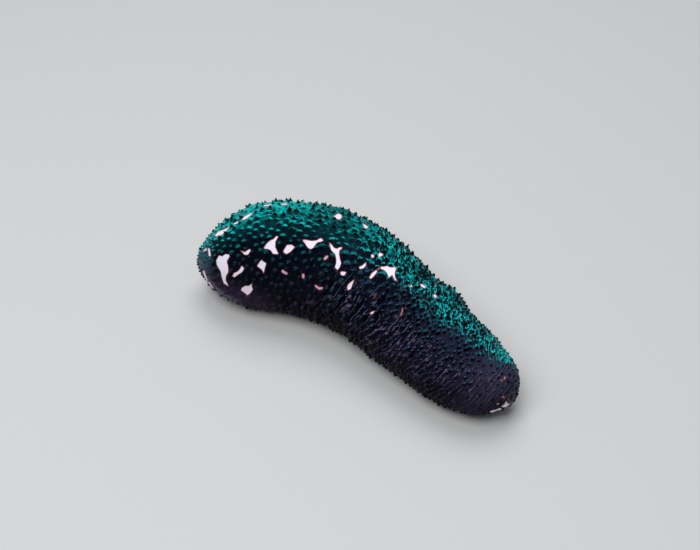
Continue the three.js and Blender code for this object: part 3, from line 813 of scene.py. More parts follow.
def make_skin():
    """The skin of the whole body as one closed mesh, with its unwrap and its markings."""
    mesh = closed_mesh("skin", skin_places, [skin_places[0].mean(axis=0), skin_places[-1].mean(axis=0)])
    fields = dict(MARK_AND_LIGHT_FIELDS, fold=fold_phase, down=down_folds, crest=fold_crest, margin=pale_margin)
    for name, values in fields.items():
        set_attribute(mesh, name, np.append(values, [values[0], values[-1]]))
    # Painted shade in the creases and wherever the skin is pushed in
    painted_hollow_shade = np.clip(creases / CREASE_SHADE + np.clip(-push, 0, 1) * HOLLOW_SHADE, 0, 1)
    set_attribute(mesh, "painted_hollow_shade", np.append(painted_hollow_shade, [0, 0]))
    unwrap_skin(mesh)
    mesh.materials.append(skin_finish)
    mesh.shade_smooth()
    mesh.update()
    return link("skin", mesh)


# Node helpers


def add_node(tree, kind, inputs=None, **settings):
    """A new node with its settings, and its inputs by name or number, each a value or another socket."""
    made = tree.nodes.new(kind)
    for name, value in settings.items():
        setattr(made, name, value)
    for name, value in (inputs or {}).items():
        if isinstance(value, bpy.types.NodeSocket):
            tree.links.new(value, made.inputs[name])
        else:
            made.inputs[name].default_value = value
    return made


def result_of(tree, kind, inputs=None, **settings):
    """The first output of a new node."""
    return add_node(tree, kind, inputs, **settings).outputs[0]


def maths(tree, operation, first, second=0.0):
    return result_of(tree, "ShaderNodeMath", {0: first, 1: second}, operation=operation)


def product(tree, *values):
    """The product of numbers and sockets, from the left."""
    return reduce(lambda first, second: maths(tree, "MULTIPLY", first, second), values)


def total(tree, *values):
    """The sum of numbers and sockets, from the left."""
    return reduce(lambda first, second: maths(tree, "ADD", first, second), values)


def less(tree, first, second):
    return maths(tree, "SUBTRACT", first, second)


def joined(tree, x, y, z=0.0):
    return result_of(tree, "ShaderNodeCombineXYZ", {0: x, 1: y, 2: z})


def parts_of(tree, vector):
    return add_node(tree, "ShaderNodeSeparateXYZ", {0: vector}).outputs


def object_place(tree):
    return add_node(tree, "ShaderNodeTexCoord").outputs["Object"]


def noise_at(tree, place, scale, detail, roughness, distortion=0.0):
    inputs = {"Vector": place, "Scale": scale, "Detail": detail, "Roughness": roughness}
    return result_of(tree, "ShaderNodeTexNoise", {**inputs, "Distortion": distortion})


def ramp(tree, value, low, high, to_low=0.0, to_high=1.0):
    """A smooth step from to_low to to_high as a value goes from low to high."""
    inputs = {"Value": value, "From Min": low, "From Max": high, "To Min": to_low, "To Max": to_high}
    return result_of(tree, "ShaderNodeMapRange", inputs, interpolation_type="SMOOTHSTEP")


def blend_colours(tree, share, low, high):
    """The colour low where share is 0 and high where it is 1."""
    made = add_node(tree, "ShaderNodeMix", data_type="RGBA")
    for socket, value in ((made.inputs[0], share), (made.inputs[6], low), (made.inputs[7], high)):
        if isinstance(value, bpy.types.NodeSocket):
            tree.links.new(value, socket)
        else:
            socket.default_value = value
    return made.outputs[2]


def layers_on(tree, base, *layers):
    """A colour with others laid over it, one after another, each with its share."""
    for share, over in layers:
        base = blend_colours(tree, share, base, over)
    return base


def attribute(tree, name):
    return add_node(tree, "ShaderNodeAttribute", attribute_name=name).outputs["Fac"]


def new_group(name, inputs, outputs):
    """A shader node group with float and colour sockets, and its input and output nodes."""
    tree = bpy.data.node_groups.new(name, "ShaderNodeTree")
    for in_out, sockets in (("INPUT", inputs), ("OUTPUT", outputs)):
        for socket_name, value in sockets.items():
            kind = "NodeSocketColor" if isinstance(value, tuple) else "NodeSocketFloat"
            socket = tree.interface.new_socket(name=socket_name, in_out=in_out, socket_type=kind)
            if in_out == "INPUT":
                socket.default_value = value
    return tree, tree.nodes.new("NodeGroupInput").outputs, tree.nodes.new("NodeGroupOutput").inputs


def colour(red, green, blue):
    return (red, green, blue, 1.0)


# Finishes. Colours are linear
DARK_FRONT = colour(0.0022, 0.0030, 0.0065)
DARK_REAR = colour(0.0115, 0.0095, 0.0225)
DARK_END = colour(0.0340, 0.0320, 0.0620)
DARK_TIP = colour(0.0320, 0.0700, 0.1080)
LOW_FRONT = colour(0.0340, 0.0200, 0.0430)
# Painted shade low on the flank
LOW_SHADE = colour(0.0030, 0.0008, 0.0024)
# Painted light: the teal sheen as if lit from above, in deep, slate, plain, bright and vivid steps,
# highlights and glints on the bosses, glints on the papilla tips, and highlights on the fold crests
PAINTED_SHEEN_DEEP = colour(0.0008, 0.0500, 0.0620)
PAINTED_SHEEN_SLATE = colour(0.0120, 0.0410, 0.0780)
PAINTED_BOSS_HIGHLIGHT = colour(0.0240, 0.0250, 0.0440)
PAINTED_BOSS_GLINT = colour(0.0060, 0.0700, 0.0900)
PAINTED_SHEEN = colour(0.0008, 0.2700, 0.2650)
PAINTED_SHEEN_BRIGHT = colour(0.0060, 0.5300, 0.5100)
PAINTED_SHEEN_VIVID = colour(0.0060, 0.6000, 0.6100)
PAINTED_TIP_GLINT = colour(0.0600, 0.1700, 0.2800)
PAINTED_CREST_HIGHLIGHT = colour(0.2800, 0.2050, 0.3900)
MARGIN_GREY = colour(0.1500, 0.1300, 0.1900)
MARK_WHITE = colour(0.8200, 0.7000, 0.8200)
MARK_BLUISH = colour(0.7400, 0.7200, 0.8700)
MARK_EDGE = colour(0.2400, 0.0700, 0.0650)
ROSY_CENTRE = colour(0.6000, 0.3800, 0.4800)
ROSY_EDGE = colour(0.1500, 0.0420, 0.0520)
BLUE_GLOSS = colour(0.05, 0.32, 0.52)
BLACK = colour(0.0, 0.0, 0.0)


# Grain of wet skin: sizes and heights of its wrinkles, pores and mottle
WRINKLE_SIZE = 2 * MM
PORE_SHARE = 0.3
PORE_HEIGHT = 0.35
MOTTLE_SCALE = 110.0

# Strokes in the painted sheen, and how much the middle of their change adds as a strand
STROKE_WIDTH = 1.2 * MM
STROKE_LENGTH_FRONT = 8 * MM
STROKE_WIDTH_REAR = 2.2 * MM
STROKE_LENGTH_REAR = 8 * MM
STROKE_TURN = CAMERA_AZIMUTH
STRAND = 0.36

# How far the mottle, the relief and a lean to one side make the painted sheen uneven
MOTTLE_SHARE = 0.3
RELIEF_SHARE = 0.5
LEAN_SHARE = 0.4


def make_grain_group():
    """Fine wrinkles and pores of wet skin: a height for bump, and a mottle for colour and gloss."""
    sizes = {"Wrinkle Size": WRINKLE_SIZE, "Pore Size": PORE_SHARE * WRINKLE_SIZE}
    tree, given, put = new_group("wet_grain", sizes, {"Height": 0.0, "Mottle": 0.0})
    place = object_place(tree)
    wrinkle_scale, pore_scale = (maths(tree, "DIVIDE", 1.0, given[name]) for name in sizes)
    wrinkles = noise_at(tree, place, wrinkle_scale, 3.0, 0.6, 0.8)
    pores = result_of(tree, "ShaderNodeTexVoronoi", {"Vector": place, "Scale": pore_scale, "Randomness": 1.0})
    height = total(tree, wrinkles, product(tree, pores, PORE_HEIGHT))
    tree.links.new(height, put["Height"])
    tree.links.new(noise_at(tree, place, MOTTLE_SCALE, 4.0, 0.55), put["Mottle"])
    return tree


def make_stroke_group():
    """Short strokes in the painted sheen: along the body in front, and across the back behind."""
    tree, given, put = new_group("strokes", {"Station": 0.0, "Below": 0.0}, {"Stroke": 0.0})
    along = product(tree, given["Station"], BODY_LENGTH / STROKE_LENGTH_FRONT)
    front_place = joined(tree, along, product(tree, given["Below"], MM / STROKE_WIDTH))
    turned = {
        "Vector": object_place(tree), "Rotation": (0.0, 0.0, STROKE_TURN),
        "Scale": (STROKE_WIDTH_REAR, STROKE_LENGTH_REAR, STROKE_LENGTH_REAR),
    }
    rear_place = result_of(tree, "ShaderNodeMapping", turned, vector_type="TEXTURE")
    front, rear = (noise_at(tree, place, 1.0, 2.0, 0.5) for place in (front_place, rear_place))
    change = product(tree, less(tree, rear, front), ramp(tree, given["Station"], 0.35, 0.6))
    stroke = total(tree, front, change)
    strand = ramp(tree, maths(tree, "ABSOLUTE", less(tree, stroke, 0.5)), 0.08, 0.01, 0.0, STRAND)
    tree.links.new(total(tree, stroke, strand), put["Stroke"])
    return tree


def make_marks_and_painted_light_group():
    """Colour and roughness of the skin from the way it faces, its station, its marks and its folds, with
    painted light and shade.
    """
    names = (
        "Facing", "Body Facing", "Lean", "Up", "Level", "Station", "White", "Rosy", "Crest Highlight", "Painted Hollow Shade",
        "Margin", "Tip", "Papilla",
    )
    inputs = {**dict.fromkeys(names, 0.0), "Wrinkle": 0.5, "Mottle": 0.5, "Stroke": 0.5}
    tree, given, put = new_group("marks_and_painted_light", inputs, {"Color": BLACK, "Roughness": 0.0})

    def step(name, low, high, to_low=0.0, to_high=1.0):
        return ramp(tree, given[name], low, high, to_low, to_high)

    # Dark ground, which changes towards both ends, with painted shade low on the flank and a plum tone low in
    # front.
    # Papillae are darker, partly their own tone and partly painted shade
    low = product(tree, step("Level", 0.045, 0.016), 0.9, step("Station", 0.93, 0.85, 0.35, 1.0))
    dark = layers_on(
        tree, DARK_FRONT, (step("Station", 0.52, 0.95), DARK_REAR), (step("Station", 0.88, 0.99), DARK_END),
        (step("Station", 0.065, 0.02), DARK_TIP),
        (low, blend_colours(tree, step("Station", 0.12, 0.3), LOW_FRONT, LOW_SHADE)),
        (product(tree, given["Papilla"], 0.8), BLACK),
    )

    # Unevenness of the painted sheen, from the relief, the mottle and the strokes
    relief = less(tree, given["Facing"], given["Body Facing"])
    leaning = product(tree, given["Lean"], LEAN_SHARE)
    mottle = product(tree, less(tree, given["Mottle"], 0.5), MOTTLE_SHARE)
    depth = total(tree, step("Station", 0.3, 0.6, 0.8, 1.4), step("Station", 0.83, 0.95, 0.0, 0.4))
    shift = total(tree, step("Station", 0.22, 0.45, -0.12, -0.3), step("Station", 0.88, 0.95, 0.0, 0.2))
    stroke = total(tree, product(tree, less(tree, given["Stroke"], 0.5), depth), shift)
    uneven = total(tree, given["Facing"], product(tree, relief, RELIEF_SHARE), leaning, mottle, stroke)
    uneven = less(tree, uneven, step("Body Facing", 0.85, 0.5, 0.0, 0.14))

    # Where the painted sheen lies, as if lit from above, in slate instead of teal down the flank of the rear
    lit = product(tree, step("Body Facing", -0.05, 0.7), step("Up", 0.2, 0.6))
    edge = total(tree, step("Station", 0.5, 0.7, 0.72, 0.8), step("Station", 0.84, 0.93, 0.0, -0.16))
    above = less(tree, given["Body Facing"], edge)
    flank = product(tree, ramp(tree, above, 0.05, -0.13), step("Station", 0.38, 0.54))
    painted_sheen_strength = product(tree, lit, step("Body Facing", 0.2, 0.85, 0.2, 1.0), less(tree, 1.0, flank))
    painted_sheen_wash = product(tree, step("Body Facing", 0.4, 0.8, 0.0, 0.3), step("Station", 0.6, 0.4))
    painted_sheen_tinge = product(tree, maths(tree, "MAXIMUM", ramp(tree, uneven, 0.5, 0.88), painted_sheen_wash), lit)
    bright_sheen_colour = blend_colours(tree, step("Station", 0.4, 0.65), PAINTED_SHEEN_BRIGHT, PAINTED_SHEEN_VIVID)

    # Painted highlights on the lit sides of the bosses, the dark thorns of the papillae, and painted glints
    # on their tips
    raised = total(tree, relief, leaning)
    painted_boss_highlights = product(tree, ramp(tree, raised, 0.3, 0.65, 0.0, 0.8), step("Level", 0.006, 0.016))
    boss_glint_share = product(tree, step("Body Facing", -0.1, 0.35), step("Station", 0.7, 0.5))
    # The thorns keep their own dark tone, deepened by painted shade where they face away from the sheen
    thorn = product(
        tree, given["Papilla"], step("Tip", 0.1, 0.5, 0.0, 0.85), step("Facing", 0.95, 0.65, 0.25, 1.0),
    )
    # Painted glints in blue on the lit sides of the papilla tips
    tip = product(
        tree, step("Tip", 0.4, 0.8), step("Body Facing", 0.85, 0.6), ramp(tree, raised, 0.1, 0.5),
        step("Body Facing", -0.25, 0.5, 0.2, 1.0), step("Station", 0.4, 0.6, 0.35, 1.0),
    )

    # Painted highlights on the crests of the folds, the pale margin, painted shade in creases, dips and fold
    # valleys, and marks
    crest = product(tree, given["Crest Highlight"], step("Facing", 0.85, 0.5), step("Level", 0.014, 0.055, 0.12, 1.0))
    margin = product(tree, given["Margin"], step("Wrinkle", 0.62, 0.78))
    white = blend_colours(tree, step("Mottle", 0.44, 0.56), MARK_WHITE, MARK_BLUISH)
    skin_colour = layers_on(
        tree, dark, (painted_boss_highlights, blend_colours(tree, boss_glint_share, PAINTED_BOSS_HIGHLIGHT, PAINTED_BOSS_GLINT)),
        (painted_sheen_tinge, blend_colours(tree, flank, PAINTED_SHEEN_DEEP, PAINTED_SHEEN_SLATE)),
        (product(tree, ramp(tree, uneven, 0.8, 0.94), painted_sheen_strength), PAINTED_SHEEN),
        (product(tree, ramp(tree, uneven, 0.94, 1.08), painted_sheen_strength), bright_sheen_colour),
        (thorn, BLACK), (tip, PAINTED_TIP_GLINT), (crest, PAINTED_CREST_HIGHLIGHT), (margin, MARGIN_GREY),
        (product(tree, given["Painted Hollow Shade"], 0.8), BLACK),
        (step("Rosy", -0.5, 0.15), ROSY_EDGE), (step("Rosy", 0.1, 0.75), ROSY_CENTRE),
        (step("White", -0.65, 0.0), MARK_EDGE), (step("White", -0.15, 0.3), white),
    )
    tree.links.new(skin_colour, put["Color"])
    tree.links.new(step("Mottle", 0.3, 0.7, 0.3, 0.46), put["Roughness"])
    return tree


# Shine and bump of the finishes
COAT_ROUGHNESS = 0.12
BUMP_STRENGTH = 0.6
FLESH_BUMP = 0.1 * MM

# Painted highlight lines on the folds of the flank, and finer painted dashes between them. Lengths are in mm,
# along the folds, and LINE_WIDTH is a share of the wave from one crest to the valley beside it
LINE_PIECE = 13.0
LINE_WIDTH = 0.16
LINE_HEIGHT = 0.5
DASH_LENGTH = 4.5
DASHES_PER_FOLD = 2.2
DASH_STRENGTH = 0.55

stroke_group = make_stroke_group()
grain_group = make_grain_group()
marks_and_painted_light_group = make_marks_and_painted_light_group()


def new_material(name, roughness=0.4, specular=0.03, coat=0.0, gloss=colour(1.0, 1.0, 1.0)):
    """A material with its node tree and its Principled shader."""
    material = bpy.data.materials.new(name)
    material.use_nodes = True
    tree = material.node_tree
    shader = tree.nodes["Principled BSDF"]
    inputs = {
        "Roughness": roughness, "Specular IOR Level": specular, "Specular Tint": gloss, "Coat Weight": coat,
        "Coat Roughness": COAT_ROUGHNESS,
    }
    for socket, value in inputs.items():
        shader.inputs[socket].default_value = value
    return material, tree, shader


def add_grain(tree, wrinkle_size):
    sizes = {"Wrinkle Size": wrinkle_size, "Pore Size": PORE_SHARE * wrinkle_size}
    return add_node(tree, "ShaderNodeGroup", sizes, node_tree=grain_group).outputs


def add_bump(tree, shader, height, distance):
    inputs = {"Strength": BUMP_STRENGTH, "Distance": distance, "Height": height}
    tree.links.new(result_of(tree, "ShaderNodeBump", inputs), shader.inputs["Normal"])


def broken_line(tree, across, length, low, high):
    """Pieces of a length in mm along the folds, so many across each fold."""
    along = maths(tree, "DIVIDE", attribute(tree, "down"), length)
    place = joined(tree, product(tree, attribute(tree, "fold"), across), along)
    return ramp(tree, noise_at(tree, place, 1.0, 1.0, 0.5), low, high)


def add_fold_lines(tree, height, links):
    """Painted highlight lines and painted valley shade of the folds, as links of the colour group, and the
    height that they add to.
    """
    wave = maths(tree, "ABSOLUTE", maths(tree, "SINE", product(tree, attribute(tree, "fold"), math.pi)))
    crest = attribute(tree, "crest")
    line = product(tree, ramp(tree, wave, LINE_WIDTH, 0.0), broken_line(tree, 1.0, LINE_PIECE, 0.45, 0.52))
    dashes = product(tree, broken_line(tree, DASHES_PER_FOLD, DASH_LENGTH, 0.58, 0.68), DASH_STRENGTH)
    line = product(tree, maths(tree, "MAXIMUM", line, dashes), crest)
    # Painted shade in the valleys of the folds
    valley = product(tree, ramp(tree, wave, 0.5, 1.0, 0.0, 0.6), crest)
    links["Crest Highlight"] = line
    links["Painted Hollow Shade"] = total(tree, attribute(tree, "painted_hollow_shade"), valley)
    links["Margin"] = attribute(tree, "margin")
    return total(tree, height, product(tree, line, LINE_HEIGHT))


def skin_material(name, wrinkle_size, bump_depth, coat, whole_skin):
    """Near-black wet skin with a painted teal sheen where it faces up, white marks and painted highlights on
    the fold crests.
    """
    material, tree, shader = new_material(name, coat=coat, gloss=BLUE_GLOSS)
    grain = add_grain(tree, wrinkle_size)
    strokes = add_node(tree, "ShaderNodeGroup", node_tree=stroke_group)
    marks_and_painted_light = add_node(tree, "ShaderNodeGroup", node_tree=marks_and_painted_light_group)
    normal = add_node(tree, "ShaderNodeNewGeometry").outputs["Normal"]
    towards, sideways = (
        add_node(tree, "ShaderNodeVectorMath", {0: normal, 1: way}, operation="DOT_PRODUCT").outputs["Value"]
        for way in (SHEEN_WAY, SHEEN_SIDE)
    )
    height = grain["Height"]
    links = {
        "Facing": total(tree, towards, product(tree, sideways, sideways, SHEEN_SPREAD)),
        "Lean": less(tree, sideways, attribute(tree, "side_facing")),
        "Up": parts_of(tree, normal)["Z"], "Level": parts_of(tree, object_place(tree))["Z"],
        "Mottle": grain["Mottle"], "Stroke": strokes.outputs["Stroke"], "Wrinkle": height,
    }
    for label in ("Station", "White", "Rosy", "Body Facing"):
        links[label] = attribute(tree, label.lower().replace(" ", "_"))
    tree.links.new(links["Station"], strokes.inputs["Station"])
    tree.links.new(attribute(tree, "below"), strokes.inputs["Below"])
    if whole_skin:
        height = add_fold_lines(tree, height, links)
    else:
        marks_and_painted_light.inputs["Papilla"].default_value = 1.0
        spot = add_node(tree, "ShaderNodeAttribute", attribute_name="spot").outputs["Vector"]
        links["Tip"] = parts_of(tree, spot)["Z"]
    for socket, value in links.items():
        tree.links.new(value, marks_and_painted_light.inputs[socket])
    tree.links.new(marks_and_painted_light.outputs["Color"], shader.inputs["Base Color"])
    tree.links.new(marks_and_painted_light.outputs["Roughness"], shader.inputs["Roughness"])
    add_bump(tree, shader, height, bump_depth)
    return material


def flesh_material(name, dark, pale, wrinkle_size):
    """Plain wet flesh that runs from a dark to a pale colour with an attribute named shade: its own tone, and
    painted shade in the rosettes' folds and pits.
    """
    material, tree, shader = new_material(name, specular=0.15)
    grain = add_grain(tree, wrinkle_size)
    shade = total(tree, attribute(tree, "shade"), ramp(tree, grain["Mottle"], 0.3, 0.7, -0.15, 0.15))
    tree.links.new(blend_colours(tree, ramp(tree, shade, 0.0, 1.0), dark, pale), shader.inputs["Base Color"])
    add_bump(tree, shader, grain["Height"], FLESH_BUMP)
    return material


skin_finish = skin_material("wet_skin", 2.2 * MM, 0.2 * MM, coat=0.0, whole_skin=True)
papilla_finish = skin_material("wet_papillae", 1.1 * MM, 0.08 * MM, coat=0.03, whole_skin=False)
sole_finish = flesh_material("sole", colour(0.03, 0.022, 0.04), colour(0.2, 0.17, 0.24), 1.2 * MM)
mouth_finish = flesh_material("mouth", colour(0.02, 0.014, 0.02), colour(0.2, 0.14, 0.19), 1.0 * MM)
vent_finish = flesh_material("vent", colour(0.006, 0.004, 0.007), colour(0.07, 0.055, 0.09), 0.9 * MM)


# Papillae and tube feet: one small form on each point, by Geometry Nodes. Its patch of the unwrap has a size
# and draws in towards the tip, and LEAST_RADIUS is a share of its radius
PATCH_SIZE = 0.0015
PATCH_TAPER = 0.9
LEAST_RADIUS = 0.02


def curve_of(tree, value, profile):
    """A smooth curve through the points of a profile, read at a value from 0 to 1."""
    made = add_node(tree, "ShaderNodeFloatCurve", {"Value": value})
    curve = made.mapping.curves[0]
    curve.points[0].location = profile[0]
    curve.points[1].location = profile[-1]
    for share, radius in profile[1:-1]:
        curve.points.new(share, radius)
    made.mapping.update()
    return made.outputs[0]


def named_vector(tree, name):
    return result_of(tree, "GeometryNodeInputNamedAttribute", {"Name": name}, data_type="FLOAT_VECTOR")


def make_form_tree(name, profile):
    """A tree that sets a turned form of one profile on each point and writes its patch of the unwrap."""
    tree = bpy.data.node_groups.new(name, "GeometryNodeTree")
    sockets = (
        ("Points", "Geometry", None), ("Sides", "Int", 10), ("Rings", "Int", 8), ("Bend", "Float", 0.0),
        ("Lobes", "Float", 0.0), ("Lobe Depth", "Float", 0.0), ("Patch", "Float", PATCH_SIZE),
        ("Finish", "Material", None),
    )
    for label, kind, value in sockets:
        socket = tree.interface.new_socket(name=label, in_out="INPUT", socket_type="NodeSocket" + kind)
        if value is not None:
            socket.default_value = value
    tree.interface.new_socket(name="Forms", in_out="OUTPUT", socket_type="NodeSocketGeometry")
    given = tree.nodes.new("NodeGroupInput").outputs
    put = tree.nodes.new("NodeGroupOutput").inputs

    # One form: a tube of radius and height 1, drawn in to the profile, lobed and bent
    tube = {
        "Vertices": given["Sides"], "Side Segments": given["Rings"],
        "Radius Top": 1.0, "Radius Bottom": 1.0, "Depth": 1.0,
    }
    tube = result_of(tree, "GeometryNodeMeshCone", tube, fill_type="TRIANGLE_FAN")
    place = result_of(tree, "GeometryNodeInputPosition")
    parts = parts_of(tree, place)
    height = parts["Z"]
    turn = maths(tree, "ARCTAN2", parts["Y"], parts["X"])
    lobe = maths(tree, "COSINE", product(tree, turn, given["Lobes"]))
    lobe = total(tree, 1.0, product(tree, lobe, given["Lobe Depth"], height))
    radius = product(tree, maths(tree, "MAXIMUM", curve_of(tree, height, profile), LEAST_RADIUS), lobe)
    bend = product(tree, given["Bend"], maths(tree, "POWER", height, 2.0))
    x = total(tree, product(tree, parts["X"], radius), bend)
    shaped = joined(tree, x, product(tree, parts["Y"], radius), height)
    form = result_of(tree, "GeometryNodeSetPosition", {"Geometry": tube, "Position": shaped})
    store = "GeometryNodeStoreNamedAttribute"
    spot = {"Geometry": form, "Name": "spot", "Value": place}
    spot = result_of(tree, store, spot, data_type="FLOAT_VECTOR", domain="POINT")

    # The forms on their points
    ways = {0: named_vector(tree, "outwards"), 1: named_vector(tree, "sideways")}
    turned = result_of(tree, "FunctionNodeAxesToRotation", ways, primary_axis="Z", secondary_axis="X")
    placed = {"Points": given["Points"], "Instance": spot, "Rotation": turned}
    placed["Scale"] = named_vector(tree, "size")
    placed = result_of(tree, "GeometryNodeInstanceOnPoints", placed)
    real = result_of(tree, "GeometryNodeRealizeInstances", {"Geometry": placed})

    # Their patches of the unwrap, with the tip near the middle
    spot_parts = parts_of(tree, named_vector(tree, "spot"))
    reach = product(tree, less(tree, 1.0, product(tree, spot_parts["Z"], PATCH_TAPER)), given["Patch"])
    patch = joined(tree, product(tree, spot_parts["X"], reach), product(tree, spot_parts["Y"], reach))
    unwrap = {0: named_vector(tree, "root_unwrap"), 1: patch}
    unwrap = result_of(tree, "ShaderNodeVectorMath", unwrap, operation="ADD")
    mapped = {"Geometry": real, "Name": "OFBake", "Value": unwrap}
    mapped = result_of(tree, store, mapped, data_type="FLOAT2", domain="CORNER")
    finished = result_of(tree, "GeometryNodeSetMaterial", {"Geometry": mapped, "Material": given["Finish"]})
    tree.links.new(finished, put["Forms"])
    return tree


# Profiles: share of the height and share of the base radius, from the foot to the tip
POINTED_PROFILE = [(0, 1), (0.14, 0.76), (0.34, 0.54), (0.6, 0.35), (0.85, 0.17), (1, 0.02)]
BROAD_PROFILE = [(0, 1), (0.2, 0.78), (0.45, 0.5), (0.7, 0.28), (0.88, 0.16), (1, 0.02)]
NIPPLE_PROFILE = [(0, 1), (0.2, 0.8), (0.45, 0.62), (0.7, 0.48), (0.9, 0.27), (1, 0.02)]
DRAWN_PROFILE = [(0, 1), (0.2, 0.9), (0.45, 0.7), (0.7, 0.46), (0.88, 0.26), (1, 0.02)]
FOOT_PROFILE = [(0, 0.9), (0.05, 1), (0.14, 0.96), (0.26, 0.6), (0.6, 0.56), (1, 0.8)]
TENTACLE_PROFILE = [(0, 0.4), (0.4, 0.42), (0.62, 0.85), (0.8, 1), (0.93, 0.75), (1, 0.05)]

pointed_tree = make_form_tree("pointed_papilla", POINTED_PROFILE)
broad_tree = make_form_tree("broad_papilla", BROAD_PROFILE)
nipple_tree = make_form_tree("nipple_papilla", NIPPLE_PROFILE)
drawn_tree = make_form_tree("drawn_out_papilla", DRAWN_PROFILE)
foot_tree = make_form_tree("tube_foot", FOOT_PROFILE)
tentacle_tree = make_form_tree("tentacle_tip", TENTACLE_PROFILE)

# The nodes of the solids that the pieces stand for
FLESH_NODES = ("front_end", "fore_body", "mid_body", "hind_body", "rear_end")
SOLE_NODES = ("sole_front", "sole_fore", "sole_mid", "sole_hind", "sole_rear")


def finish_piece(piece, slot, *nodes):
    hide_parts(*nodes)
    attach(piece, BODY)


def forms_on_points(name, tree, places, outwards, sideways, size, unwrap, fields, values):
    """A plain mesh with the tree's form on each point, under the given fields and input values."""
    points = bpy.data.meshes.new(name + "_points")
    points.from_pydata(np.asarray(places).tolist(), [], [])
    set_vectors(points, "outwards", outwards)
    set_vectors(points, "sideways", sideways)
    set_vectors(points, "size", size)
    set_vectors(points, "root_unwrap", np.column_stack([unwrap, np.zeros(len(unwrap))]))
    for field, field_values in fields.items():
        set_attribute(points, field, field_values)
    carrier = link(name + "_carrier", points)
    modifier = carrier.modifiers.new("forms", "NODES")
    modifier.node_group = tree
    for socket in tree.interface.items_tree:
        if socket.item_type == "SOCKET" and socket.in_out == "INPUT" and socket.name in values:
            modifier[socket.identifier] = values[socket.name]
    evaluated = carrier.evaluated_get(bpy.context.evaluated_depsgraph_get())
    mesh = bpy.data.meshes.new_from_object(evaluated)
    bpy.data.objects.remove(carrier)
    bpy.data.meshes.remove(points)
    mesh.name = name
    mesh.shade_smooth()
    return link(name, mesh)


# Papillae: faces, how deep the root sinks in, how far they follow the shown skin, and the depth in mm that
# keeps the colours of a mark off them
PAPILLA_FACES = {"Sides": 8, "Rings": 5}
PAPILLA_SINK = 0.3 * MM
SHOWN_SHARE = 0.4
UNMARKED = -2


def make_papillae(name, tree, chosen, width, height, bend, lean, stretch=1.0, along_folds=False):
    """Papillae of one kind on the skin, leaning a little, with the skin's marks and painted light read at
    their roots.
    """
    random = np.random.default_rng(SKIN_SEED + len(name))
    rows, columns = papilla_rows[chosen], papilla_columns[chosen]
    normal = unit(skin.sample(shown_normal, rows, columns))
    outwards = mix(root_normals[chosen], normal, SHOWN_SHARE)
    outwards = unit(outwards + random.normal(0, lean, normal.shape))
    sideways = root_across[chosen] if along_folds else np.cross(outwards, random.normal(0, 1, normal.shape))
    sideways = unit(sideways - np.sum(sideways * outwards, axis=1)[:, None] * outwards)
    size = np.column_stack([width[chosen] * stretch, width[chosen], height[chosen]]) * MM
    fields = {field: skin.sample(values, rows, columns) for field, values in MARK_AND_LIGHT_FIELDS.items()}
    for field in ("white", "rosy"):
        fields[field] = np.minimum(fields[field], UNMARKED)
    piece = forms_on_points(
        name, tree, skin.sample(skin_places, rows, columns) - outwards * PAPILLA_SINK, outwards, sideways,
        size, skin.unwrap(rows, columns), fields, {"Bend": bend, "Finish": papilla_finish, **PAPILLA_FACES},
    )
    finish_piece(piece, "skin", *FLESH_NODES)


finish_piece(make_skin(), "skin", *FLESH_NODES, *SOLE_NODES)

# Which kind each papilla is
pointed = (on_back > 0.4) & (on_rear < 0.45) & (on_tip < 0.5) & ~is_seen
broad = (on_back > 0.25) & (on_tip < 0.5) & ~pointed & ~is_seen
drawn_out = ~pointed & ~broad & ~is_seen & (on_rear > 0.55)
nipples = ~pointed & ~broad & ~drawn_out

# Widths and heights of the papillae in mm, where there are three in front, on the rear and at the rear end.
# On a seen boss they are a share of its radius and a length that adds to it
POINTED_WIDTH = 1.5
POINTED_HEIGHT = 1.6
BROAD_WIDTHS = (1.4, 1.1, 0.8)
BROAD_HEIGHTS = (1.6, 1.35, 0.8)
NIPPLE_SIZE = 0.95
SEEN_NIPPLE_WIDTH = (0.3, 0.25)
SEEN_NIPPLE_HEIGHT = (0.25, 0.4)
DRAWN_WIDTH = 1.05
DRAWN_HEIGHTS = (1.1, 1.1, 0.75)
DRAWN_STRETCH = 1.6


def sizes_along(front, rear, end):
    """A size of each papilla that changes along the body."""
    return mix(mix(front, rear, on_rear), end, on_end) * papilla_size


def nipple_sizes(seen_share_and_length):
    """A size of each nipple-shaped papilla, from its boss where that is seen."""
    return np.where(is_seen, np.polyval(seen_share_and_length, boss_radii), NIPPLE_SIZE * papilla_size)


make_papillae(
    "papillae_pointed", pointed_tree, pointed, POINTED_WIDTH * papilla_size,
    POINTED_HEIGHT * papilla_size * size_change(0.25, 0.7, 1.7), bend=0.3, lean=0.2,
)
make_papillae(
    "papillae_broad", broad_tree, broad, sizes_along(*BROAD_WIDTHS), sizes_along(*BROAD_HEIGHTS),
    bend=0.3, lean=0.24,
)
make_papillae(
    "papillae_nipples", nipple_tree, nipples, nipple_sizes(SEEN_NIPPLE_WIDTH),
    nipple_sizes(SEEN_NIPPLE_HEIGHT), bend=0.1, lean=0.1,
)
make_papillae(
    "papillae_drawn_out", drawn_tree, drawn_out, DRAWN_WIDTH * papilla_size, sizes_along(*DRAWN_HEIGHTS),
    bend=0.1, lean=0.14, stretch=DRAWN_STRETCH, along_folds=True,
)


# Tube feet under the sole, in three crowded bands, with flat suckers that stand on the floor. Bands are
# shares of the sole's half width, and MOUTH_ROOM is a share of the mouth's radius
FOOT_TRIALS = 9000
FOOT_STATIONS = (0.03, 0.985)
FOOT_SPACING = 4.3 * MM
FOOT_MARGIN = 1.6 * MM
FOOT_RADIUS = 1.25
FOOT_RADIUS_CHANGE = (0.85, 1.15)
FOOT_SHADES = (0.3, 0.9)
FOOT_BANDS = (-0.62, 0.0, 0.62)
FOOT_BAND_WIDTH = 0.3
FOOT_SINK = 1.2 * MM
FOOT_FACES = {"Sides": 14, "Rings": 12}
MOUTH_ROOM = 1.35

# Unwrap of the tube feet: one strip along the unwrap, clear of its edge
FOOT_STRIP_EDGE = 0.02
FOOT_STRIP_WIDTH = 0.05


